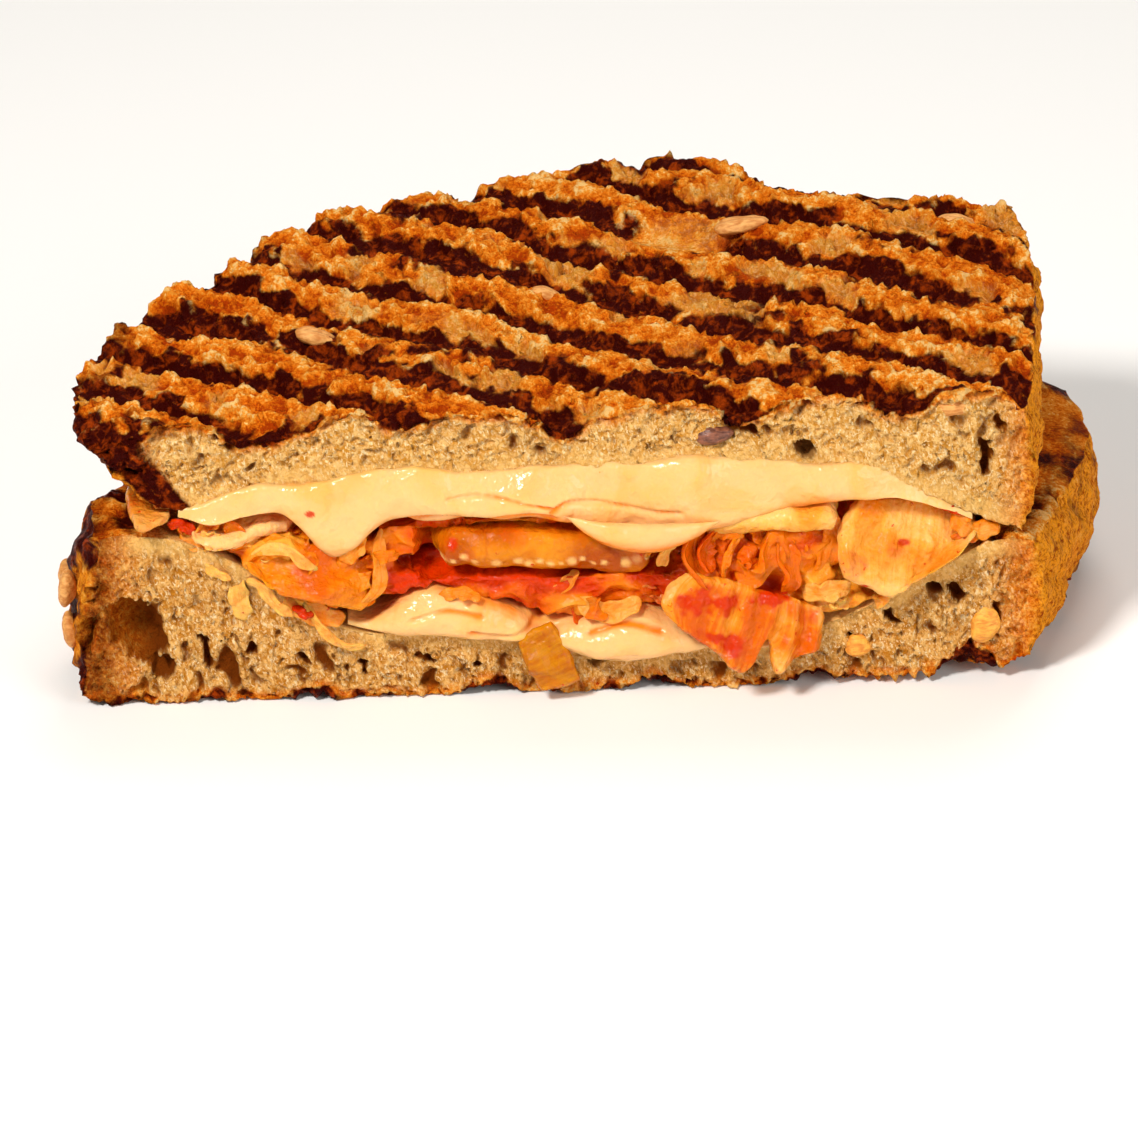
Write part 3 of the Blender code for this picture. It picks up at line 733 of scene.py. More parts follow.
@dataclass(frozen=True)
class CabbageFinish:
    """Wet cut cabbage: pale to deep by the mesh's own value, redder where paste clings to it, with
    painted shade in the heap's dents.
    """

    pale: Colour
    middle: Colour
    deep: Colour
    paste: Colour = (0.59, 0.030, 0.0002)
    # painted shade for the heap's dents
    dark: Colour = (0.16, 0.004, 0.0005)
    dot: Colour = (0.90, 0.52, 0.16)
    streaks: float = 0.3
    dots: bool = False

    def material(self, name: str) -> bpy.types.Material:
        """Streaks run along the piece's own length, paste follows noise and the mesh's value."""
        shade = Shade(name)
        across, length = shade.read("across"), shade.read("along")
        own = shade.node("ShaderNodeCombineXYZ", None, {"X": length * 1.2, "Y": across * 16.0,
                                                        "Z": shade.read("tone") * 9.0})
        streak = shade.node("ShaderNodeTexNoise", None,
                            {"Vector": own, "Scale": 1.0, "Detail": 3.0, "Roughness": 0.6}, "Fac")
        cloud = shade.noise(2.2, 4.0, 0.6, 1.0)
        fine = shade.noise(0.5, 3.0, 0.6)
        wet = shade.noise(1.1, 2.0, 0.5)
        light = shade.read("light") + (streak - 0.5) * self.streaks + (cloud - 0.5) * 0.9
        colour = shade.ramp(light, ((0.15, self.deep), (0.55, self.middle), (0.95, self.pale)))
        if self.dots:
            colour = shade.mix(shade.read("dots"), colour, self.dot)
        red = shade.read("red") + (cloud - 0.5) * 1.0
        colour = shade.mix(red.step(0.15, 0.95), colour, self.paste)
        flake = shade.cells(1.9).step(0.17, 0.11) * fine.step(0.50, 0.58)
        colour = shade.mix(flake * 0.85, colour, self.paste)
        # Painted shade inside the dents, by the mesh's depth value.
        colour = shade.mix(shade.read("depth"), colour, self.dark)
        normal = shade.bump(wet, 0.5, shade.bump(streak, 0.12))
        normal = shade.bump(fine, 0.10, normal)
        return shade.finish(colour, 0.07 + 0.12 * fine, normal, Subsurface_Weight=0.35,
                            Subsurface_Radius=(1.0, 0.30, 0.05), Subsurface_Scale=0.0016,
                            Specular_IOR_Level=0.17)


@dataclass(frozen=True)
class KernelFinish:
    """Dry hull of a seed, oat or grain with fine lines along it."""

    light: Colour
    dark: Colour
    roughness: float

    def material(self, name: str) -> bpy.types.Material:
        """Lines along the kernel from noise that is squeezed across it."""
        shade = Shade(name)
        lines = shade.noise(0.35, 3.0, 0.6, 0.4, shade.place((4.0, 1.0, 1.0)))
        mottle = shade.noise(1.2, 3.0, 0.6)
        colour = shade.mix((lines * 0.6 + mottle * 0.5).step(0.4, 0.7), self.dark, self.light)
        return shade.finish(colour, self.roughness, shade.bump(lines, 0.2), Specular_IOR_Level=0.5)


@dataclass(frozen=True)
class FloorFinish:
    """Pale matt table."""

    colour: Colour = (0.93, 0.92, 0.90)
    shadow: Colour = (0.88, 0.87, 0.85)
    roughness: float = 0.7

    def material(self, name: str) -> bpy.types.Material:
        """Almost even, with a faint cloud so that it isn't a flat colour."""
        shade = Shade(name)
        cloud = shade.noise(60.0, 2.0)
        shown = shade.mix(cloud * 0.1, self.colour, self.shadow)
        return shade.finish(shown, self.roughness)


# Bread

BOWL_AT = (18.6, 46.9)              # the smooth sunken patch on top
BOWL_HALF = (6.5, 5.0)
BOWL_DEPTH = 1.7
LOWER_CUT_LENGTH, LOWER_BACK_REACH = 112.0, 60.0
FRONT_STRIP, FRONT_LINES = 0.05, 12     # the share of the depth with closer grid lines, and how many


@dataclass
class Bread:
    """One slice: the CAD slice's own form with its crumb, grill marks and crust in relief.

    Attributes:
        side: which slice it is.
        node: the CAD node it replaces.
        lean: angle that the crumb's bubbles lean from upright, in degrees.
        seed: first of its random seeds.
        stretch: how much longer the bubbles are than wide.
        counts: grid lines along the cut, behind it and up it.
        pores: size, share and depth of each kind of bubble.
        deepest: how deep a bubble may be.
        most: how many triangles it may have.
    """

    side: Slice
    node: str
    lean: float
    seed: int
    stretch: float
    counts: tuple[int, int, int] = (440, 128, 64)
    pores: tuple = ((2.6, 0.14, 0.9), (1.7, 0.30, 1.1), (1.1, 0.55, 1.2), (0.7, 0.8, 1.2))
    deepest: float = 1.9
    most: int = 192000

    @property
    def upper(self) -> bool:
        """Whether it is the upper slice."""
        return self.side is Slice.UPPER

    def shape(self, s: Array, t: Array, h: Array) -> Array:
        """Points of the slice: its plan outline, then floor or roof and top, ribs bent by noise."""
        if self.upper:
            plan = plan_point(s, t, UPPER_LEFT, UPPER_BACK, UPPER_RIGHT)
            x, y = plan.T
            undercut = DOME_LEAN * ease(-x, 30.0, 56.0) * (1.0 - 0.8 * ease(y, 8.0, 36.0))
            plan[:, 0] += undercut * (1.0 - h)
            x, y = crust_wall(plan, s, t, h).T
            top = self.ribbed(x, y) - edge_round(s, t, CUT_LENGTH, BACK_REACH, 4.0, 1.1)
            low = roof(x, y)
        else:
            plan = plan_point(s, t, LOWER_LEFT, LOWER_BACK, LOWER_RIGHT)
            plan[:, 0] += 2.8 * h * ease(-plan[:, 0], 40.0, 57.0)
            x, y = crust_wall(plan, s, t, h).T
            low = self.base(x, y) + edge_round(s, t, LOWER_CUT_LENGTH, LOWER_BACK_REACH, 5.0, 1.4)
            top = floor(x, y) - edge_round(s, t, LOWER_CUT_LENGTH, LOWER_BACK_REACH, 4.0, 0.9)
        return np.stack([x, y, low + h * (top - low)], 1)

    def mark(self, x: Array, y: Array) -> Array:
        """The rib marks, with ragged edges."""
        flat = np.stack([x, y, np.zeros_like(x)], 1)
        x, y, _ = wandered(flat, 0.7, 3.0, self.seed + 60).T
        if self.upper:
            return rib_mark(x, y, TOP_MARKS, TOP_MARK_SEED)
        return rib_mark(x, y, BASE_MARKS, BASE_MARK_SEED)

    def ribbed(self, x: Array, y: Array) -> Array:
        """The grilled top with steeper walls to its marks than in the CAD."""
        mark = self.mark(x, y)
        return land_height(x, y) - RIB_DEPTH * (0.7 * mark + 0.34 * ease(mark, 0.2, 0.62))

    def crumb(self, points: Array) -> Array:
        """Depth of the crumb's torn bubbles: the deepest of four sizes of ball, in space that is
        warped and stretched along the lean."""
        q = wandered(wandered(points, 0.9, 2.2, self.seed), 0.42, 0.8, self.seed + 5)
        turn = math.radians(self.lean)
        up = q[:, 0] * math.sin(turn) + q[:, 2] * math.cos(turn)
        aside = q[:, 0] * math.cos(turn) - q[:, 2] * math.sin(turn)
        q = np.stack([aside, q[:, 1], up / self.stretch], 1)
        depth = np.zeros(len(points))
        for number, (size, share, gain) in enumerate(self.pores):
            depth = np.maximum(depth, gain * bubbles(q, size, self.seed + number, share))
        return np.minimum(depth, self.deepest)

    def hollow(self, points: Array) -> Array:
        """Depth of the large torn holes: flat balls with ragged rims."""
        q = wandered(wandered(points, 0.7, 2.0, self.seed + 8), 0.35, 0.8, self.seed + 11)
        depth = np.zeros(len(points))
        for node, (x, z), (wide, high), deep, turn in HOLLOWS:
            if node != self.node:
                continue
            a = math.radians(turn)
            right = ((q[:, 0] - x) * math.cos(a) - (q[:, 2] - z) * math.sin(a)) / wide
            up = ((q[:, 0] - x) * math.sin(a) + (q[:, 2] - z) * math.cos(a)) / high
            depth = np.maximum(depth, deep * np.sqrt(np.clip(1.0 - right ** 2 - up ** 2, 0.0, 1.0)))
        return depth

    def fuzz(self, points: Array) -> Array:
        """Fine torn fibres, as two sizes of noise."""
        return 0.16 * noise(points, 0.62, self.seed + 21) + 0.1 * noise(points, 0.34, self.seed + 22)

    def build(self, material: bpy.types.Material) -> bpy.types.Object:
        """Makes the slice.

        Args:
            material: the bread's finish.

        Returns:
            The finished piece.
        """
        ns, nt, nh = self.counts
        near = np.linspace(0.0, FRONT_STRIP, FRONT_LINES)[:-1]
        stations = [np.linspace(0, 1, ns), np.concatenate([near, np.linspace(FRONT_STRIP, 1.0, nt)]),
                    np.linspace(0, 1, nh)]
        surface = box_surface(self.counts, self.shape, stations)
        relief = self.relief(surface)
        surface.pushed(relief)
        surface.points[:, 2] = np.maximum(surface.points[:, 2], 0.0)
        return make_piece(f"{self.side.value}_bread", surface, material, [self.node], self.most)

    def relief(self, surface: Surface) -> Array:
        """Height of the relief at each point, and the values that colour it."""
        points, (s, t, h) = surface.points, surface.unit.T
        x, y, z = points.T
        cut = t < TOUCH
        at_top, at_bottom = h > 1 - TOUCH, h < TOUCH
        grilled = (at_top if self.upper else at_bottom) & ~cut
        inner = (at_bottom if self.upper else at_top) & ~cut
        wall = ((s < TOUCH) | (s > 1 - TOUCH) | (t > 1 - TOUCH)) & ~cut & ~grilled & ~inner
        out = np.zeros(len(points))
        # Values that colour the bread. The pit depth and the relief's height among them paint shade into
        # pits and hollows and light onto crests.
        values = {name: np.zeros(len(points)) for name in
                  ("pore", "toast", "char", "crust", "wet", "torn", "rise")}
        mark = self.mark(x, y)
        skin = self.ribbed(x, y) if self.upper else self.base(x, y)
        to_skin = np.abs(skin - z)
        to_filling = np.abs((roof(x, y) if self.upper else floor(x, y)) - z)
        self.cut_face(cut, points, to_skin, to_filling, mark, out, values)
        self.grilled_face(grilled, points, mark, out, values)
        self.walls(wall, points, h, out, values)
        self.inner_face(inner, points, out, values)
        for name, numbers in values.items():
            surface.value(name, np.clip(numbers, 0.0, 1.0))
        return out

    def base(self, x: Array, y: Array) -> Array:
        """Underside of the lower slice."""
        rise = BASE_LIFT * ease(x, 22.0, 56.0)
        return rise + BASE_RIB_DEPTH * np.clip(self.mark(x, y) - BASE_LAND, 0.0, 1.0)

    def cut_face(self, on: Array, points: Array, to_skin: Array, to_filling: Array, mark: Array,
                 out: Array, values: dict) -> None:
        """Crumb at the cut, golden and crisp under the grilled skin, wet beside the filling.

        Args:
            on: which points lie on this face.
            points: all points of the slice.
            to_skin: their distance below the grilled skin.
            to_filling: their distance from the filling.
            mark: how deep the grill's ribs press there.
            out: height of the relief, which is filled in for this face.
            values: what colours the bread, by name, likewise.
        """
        p = points[on]
        depth = self.crumb(p)
        near_filling = 1.0 - ease(to_filling[on] + 0.9 * noise(p, 3.0, self.seed + 38), 0.8, 3.4)
        skin = to_skin[on] + 0.7 * noise(p, 2.2, self.seed + 31)
        crisp = 1.0 - ease(skin, 0.3, 1.7)
        depth = np.maximum(depth * (1.0 - 0.75 * near_filling), self.hollow(p))
        crag = (0.9 * (ridges(p, 1.5, self.seed + 32) - 0.5)
                + 0.3 * noise(p, 0.6, self.seed + 37)) * crisp
        swell = 0.35 * noise(p, 6.0, self.seed + 33)
        out[on] = swell + self.fuzz(p) + crag - depth
        ends = ease(np.abs(p[:, 0] - 2.0), 48.0, 55.0)
        if self.upper:
            end = 0.42 * (38.0 - p[:, 2]) - 51.5 + 2.6 * noise(p, 4.0, self.seed + 36)
            ends = np.maximum(ends, 1.0 - ease(p[:, 0] - end, 1.5, 6.0))
        # Pit depth, kept to paint shade into the pits and the torn hollows.
        values["pore"][on] = depth / (1.2 if self.upper else 0.9)
        values["wet"][on] = near_filling * (0.6 + 0.5 * noise(p, 3.0, self.seed + 34))
        values["toast"][on] = crisp + 0.9 * ends
        seared = (1.0 - ease(skin, 0.0, 0.9)) * (0.35 + 0.8 * ease(mark[on], 0.3, 0.7))
        scorch = 1.0 if self.upper else 0.45
        values["char"][on] = seared + scorch * ends * (p[:, 0] < 0)
        # Relief height, for painted shade in the hollows and painted light on the crests.
        values["rise"][on] = 0.5 + crag
        values["torn"][on] = crisp * ease(noise(p, 2.4, self.seed + 35), 0.1, 0.5) * 0.6

    def grilled_face(self, on: Array, points: Array, mark: Array, out: Array, values: dict) -> None:
        """Craggy toasted lands, torn open in places, between charred marks."""
        p, m = points[on], mark[on]
        land = 1.0 - ease(m, 0.22, 0.6)
        crag = (0.55 * (ridges(p, 3.2, self.seed + 41) - 0.55)
                + 0.6 * (ridges(p, 1.5, self.seed + 42) - 0.55)
                + 0.42 * noise(p, 0.8, self.seed + 43) + 0.24 * noise(p, 0.42, self.seed + 44))
        loose = wandered(p, 1.2, 3.0, self.seed + 45)
        rip = land * ease(noise(loose, 5.2, self.seed + 46), 0.22, 0.5)
        depth = self.crumb(p * np.array((1.0, 1.0, 2.0)))
        bowl = np.zeros(len(p))
        if self.upper:
            bowl = np.exp(-((p[:, 0] - BOWL_AT[0]) / BOWL_HALF[0]) ** 2
                          - ((p[:, 1] - BOWL_AT[1]) / BOWL_HALF[1]) ** 2)
            land = np.maximum(land, ease(bowl, 0.25, 0.5))
        smooth = 1.0 - 0.8 * ease(bowl, 0.2, 0.6)
        out[on] = (crag * (0.6 + 0.3 * land) - 0.75 * rip - 0.75 * depth * rip
                   - 0.25 * depth * land) * smooth - BOWL_DEPTH * bowl
        burn = (m + 0.30 * noise(loose, 2.0, self.seed + 47) + 0.22 * noise(p, 6.5, self.seed + 48)
                + 0.14 * noise(p, 0.9, self.seed + 49))
        values["toast"][on] = 1.0
        far_left = 0.6 * ease(-p[:, 0], 44.0, 52.0)
        values["char"][on] = (ease(burn, 0.10, 0.54) * (1.0 - ease(bowl, 0.2, 0.5)) - 0.5 * rip
                              + far_left * (0.7 + noise(p, 2.2, self.seed + 40)))
        values["torn"][on] = rip + 0.55 * ease(bowl, 0.3, 0.7)
        # The relief's height, which paints shade into the hollows and light onto the crests.
        values["rise"][on] = 0.5 + 0.6 * crag + 0.25 * noise(p, 2.6, self.seed + 50)
        # Pit depth in the torn patches, kept to paint shade into them.
        values["pore"][on] = depth * rip

    def walls(self, on: Array, points: Array, h: Array, out: Array, values: dict) -> None:
        """Brown crust with bald spots, darker beside the grilled face and round the domed end."""
        p = points[on]
        grain = 0.22 * noise(p, 1.5, self.seed + 51) + 0.14 * noise(p, 0.7, self.seed + 52)
        dome = ease(5.0 * noise(p, 7.0, self.seed + 61) - p[:, 0], 14.0, 40.0)
        shags = (ridges(p, 3.0, self.seed + 53) - 0.5) * (0.35 + 0.45 * dome)
        out[on] = grain + shags
        bald = ease(noise(p, 4.2, self.seed + 62), 0.05, 0.6)
        values["crust"][on] = 1.0 - 0.4 * dome - 0.45 * bald
        values["toast"][on] = 1.0
        dark = 0.3 + 0.55 * noise(p, 5.0, self.seed + 54) + 0.3 * noise(p, 1.6, self.seed + 55)
        to_grill = h[on] if self.upper else 1.0 - h[on]
        seared = 0.5 * ease(to_grill + 0.25 * noise(p, 2.4, self.seed + 63), 0.82, 1.1)
        values["char"][on] = dark * (0.42 + 0.88 * dome) + 0.12 * dome + seared
        # Relief height, for painted shade in the hollows and painted light on the crests.
        values["rise"][on] = 0.5 + 1.6 * grain

    def inner_face(self, on: Array, points: Array, out: Array, values: dict) -> None:
        """Crumb against the filling, toasted out towards the rim."""
        p = points[on]
        rim = np.maximum(ease(-p[:, 0], 42.0, 48.0), ease(p[:, 0], 48.0, 52.0))
        rim = np.maximum(rim, towards_rim(p[:, 0], p[:, 1]))
        crag = 0.6 * (ridges(p, 2.4, self.seed + 56) - 0.5) + 0.2 * noise(p, 0.8, self.seed + 57)
        out[on] = crag * ease(rim, 0.05, 0.5) * (p[:, 1] < 12.0)
        values["toast"][on] = rim
        values["char"][on] = rim * (0.45 + 0.6 * noise(p, 3.0, self.seed + 58))
        values["wet"][on] = 1.0 - rim
        # Relief height, for painted shade in the hollows and painted light on the crests.
        values["rise"][on] = 0.5 + crag


HOLLOWS = [
    # node, place at the cut, half width and height, depth, lean
    ("bread_bottom", (-48.2, 9.4), (2.8, 4.8), 4.6, -24),
    ("bread_bottom", (-45.6, 4.6), (1.4, 1.6), 2.4, 10),
    ("bread_bottom", (-53.8, 12.0), (0.6, 6.0), 2.6, 3),
    ("bread_bottom", (-40.6, 6.2), (0.5, 2.4), 2.2, -12),
    ("bread_bottom", (-35.4, 6.4), (0.6, 1.0), 2.0, 20),
    ("bread_bottom", (44.4, 12.1), (1.3, 0.9), 2.8, 30),
    ("bread_bottom", (47.3, 11.6), (0.9, 1.1), 2.4, -20),
    ("bread_bottom", (35.6, 5.6), (0.8, 0.8), 1.8, 0),
    ("bread_bottom", (40.2, 8.6), (1.5, 0.5), 1.8, 24),
    ("bread_bottom", (52.4, 8.8), (0.6, 1.2), 1.8, -12),
    ("bread_bottom", (29.8, 7.4), (1.2, 0.5), 1.6, 10),
    ("bread_bottom", (-29.0, 5.4), (1.0, 0.5), 1.6, 12),
    ("bread_bottom", (-22.4, 4.2), (0.5, 1.0), 1.8, -30),
    ("bread_bottom", (-14.6, 5.0), (1.1, 0.45), 1.6, 8),
    ("bread_bottom", (-9.0, 3.4), (0.6, 0.7), 1.6, 0),
    ("bread_bottom", (5.4, 4.0), (1.2, 0.5), 1.6, -8),
    ("bread_top", (29.2, 30.6), (1.4, 0.9), 3.0, 20),
    ("bread_top", (50.2, 29.4), (0.7, 2.4), 2.6, -10),
    ("bread_top", (52.0, 33.4), (0.5, 1.8), 2.2, -14),
    ("bread_top", (22.0, 33.4), (2.6, 0.5), 1.8, 16),
    ("bread_top", (-36.4, 33.0), (1.2, 0.5), 1.8, 10),
    ("bread_top", (-51.4, 33.6), (1.6, 0.8), 2.2, 30),
    ("bread_top", (-49.0, 30.4), (1.4, 1.0), 2.4, -20),
]


@dataclass(frozen=True)
class Seeding:
    """One seed, oat or grain: what it is, where it lies and how big it is.

    Attributes:
        kind: what it is.
        node: the CAD node it is fused to.
        at: its middle. A height below 0 counts from the grilled top.
        half: half its length, depth and height.
        turn: how it is turned about +Y, in degrees.
    """

    kind: Kernel
    node: str
    at: tuple[float, float, float]
    half: tuple[float, float, float]
    turn: float

    def shape(self, s: Array, t: Array, h: Array) -> Array:
        """A ball stretched and turned about +Y, pointed at one end, with a crease along it."""
        ball = rounded_cube(s, t, h, 1.0)
        ball[:, 1:] *= (1.0 - 0.22 * ball[:, :1])
        crease = np.exp(-(ball[:, 1] / 0.16) ** 2) * 0.12
        ball[:, 2] -= crease * np.sign(ball[:, 2])
        local = ball * np.array(self.half)
        there = local + np.array(self.at)
        local += 0.1 * np.stack([noise(there, 0.9, 71 + k) for k in range(3)], 1)
        x, y, z = self.at
        if z < 0.0:
            z += float(grilled_top(np.array([x]), np.array([y]))[0])
        rotation = np.array(Euler((0.0, math.radians(self.turn), 0.0)).to_matrix())
        return local @ rotation.T + np.array((x, y, z))

    def surface(self) -> Surface:
        """The kernel's closed skin."""
        return box_surface((17, 17, 11), self.shape)


SEEDINGS = [
    Seeding(Kernel.OAT, "bread_top", (-26.5, 22.5, -0.2), (2.6, 1.6, 0.9), 14),
    Seeding(Kernel.OAT, "bread_top", (26.0, 46.0, -0.1), (3.4, 1.7, 0.9), -10),
    Seeding(Kernel.OAT, "bread_top", (53.0, 47.5, -0.2), (2.8, 1.8, 1.1), 6),
    Seeding(Kernel.OAT, "bread_top", (1.5, 31.0, -0.2), (2.2, 1.3, 0.8), 20),
    Seeding(Kernel.OAT, "bread_top", (46.2, 0.8, 35.6), (2.4, 1.2, 1.1), 0),
    Seeding(Kernel.DARK, "bread_top", (18.8, 0.5, 33.0), (2.3, 1.1, 1.2), -8),
    Seeding(Kernel.GRAIN, "bread_bottom", (51.2, 0.4, 7.2), (1.8, 1.2, 2.5), 8),
    Seeding(Kernel.GRAIN, "bread_bottom", (36.2, 0.4, 4.8), (1.6, 1.0, 1.5), 20),
    Seeding(Kernel.OAT, "bread_bottom", (-56.4, 4.6, 13.2), (1.1, 1.6, 2.3), 6),
    Seeding(Kernel.OAT, "bread_bottom", (-56.2, 5.6, 7.2), (1.1, 1.6, 2.3), -6),
    Seeding(Kernel.OAT, "bread_bottom", (-56.8, 14.0, 10.2), (1.1, 2.2, 1.5), 0),
]


@dataclass
class Kernels:
    """The seeds, oats and grains of both slices."""

    finishes: dict = field(default_factory=lambda: {
        Kernel.OAT: KernelFinish((0.78, 0.38, 0.10), (0.52, 0.17, 0.02), 0.6),
        Kernel.DARK: KernelFinish((0.30, 0.10, 0.05), (0.07, 0.015, 0.006), 0.32),
        Kernel.GRAIN: KernelFinish((0.90, 0.44, 0.05), (0.70, 0.22, 0.015), 0.5),
    })

    def build(self) -> None:
        """Makes one piece for each kind in each slice."""
        for kind, node in itertools.product(Kernel, ("bread_top", "bread_bottom")):
            found = [one.surface() for one in SEEDINGS if one.kind is kind and one.node == node]
            if found:
                name = f"{kind.value}_in_{node}"
                make_piece(name, merged(found), self.finishes[kind].material(name), [node])


# Folds

@dataclass(frozen=True)
class Fold:
    """A fold or crease at the cut: a curve with a steep side and a gentle one.

    Attributes:
        path: places at the cut that the curve goes through.
        width: how far its steep side reaches.
        height: how far it is raised.
        light, red: how pale it is, and how much paste it has.
        slack: how many times further its gentle side reaches.
    """

    path: tuple
    width: float
    height: float = 1.2
    light: float = 0.6
    red: float = 0.1
    slack: float = 2.2

    def weight(self, x: Array, z: Array) -> Array:
        """1 on the curve, falling off over the width, slack times as far on its right-hand side."""
        path = along(self.path, np.linspace(0.0, 1.0, 40))
        ahead = np.gradient(path, axis=0)
        apart_x, apart_z = x[:, None] - path[:, 0], z[:, None] - path[:, 1]
        gap = np.hypot(apart_x, apart_z)
        nearest = gap.argmin(1)
        rows = np.arange(len(x))
        side = ahead[nearest, 0] * apart_z[rows, nearest] - ahead[nearest, 1] * apart_x[rows, nearest]
        width = self.width * np.where(side > 0.0, 1.0, self.slack)
        return np.exp(-(gap[rows, nearest] / width) ** 2)


CREASES = [
    Fold(((-0.1, 25.0), (1.4, 26.0), (3.7, 25.9), (8.3, 25.0), (11.4, 24.4), (14.5, 24.2)), 0.2,
         slack=2.0),
    Fold(((-11.9, 26.6), (-8.6, 27.1), (-5.8, 26.8), (-2.6, 26.0), (0.0, 25.3)), 0.2, slack=1.5),
    Fold(((-19.9, 22.6), (-16.6, 23.6), (-13.8, 24.5), (-9.6, 23.9), (-4.8, 24.5), (-0.1, 24.3)), 0.22),
    Fold(((-16.4, 11.2), (-12.6, 12.2), (-8.4, 11.4)), 0.22),
    Fold(((-9.4, 9.4), (-5.0, 8.8), (-1.4, 9.8)), 0.22),
    Fold(((4.4, 9.2), (8.4, 10.2), (12.6, 9.2)), 0.22),
]


# Cheese

LOBE_VALLEY, LARGE_LOBE = -1.2, 9.0     # where the lower lobes meet, and the larger one's middle
FRONT_FADE = 9                      # how fast what swells at the cut dies away behind it
TONGUE_PATH = [(1.2, -2.2, 24.4), (5.6, -3.0, 22.5), (11.0, -3.1, 21.7), (16.4, -2.5, 22.2),
               (19.6, -1.6, 22.9)]
CHILLI_AT, CHILLI_HALF = (-27.9, 25.2), (0.6, 0.42)     # the fleck of chilli on the drip
FRONT_SHARE = 0.1                   # how far behind the cut folds and creases reach


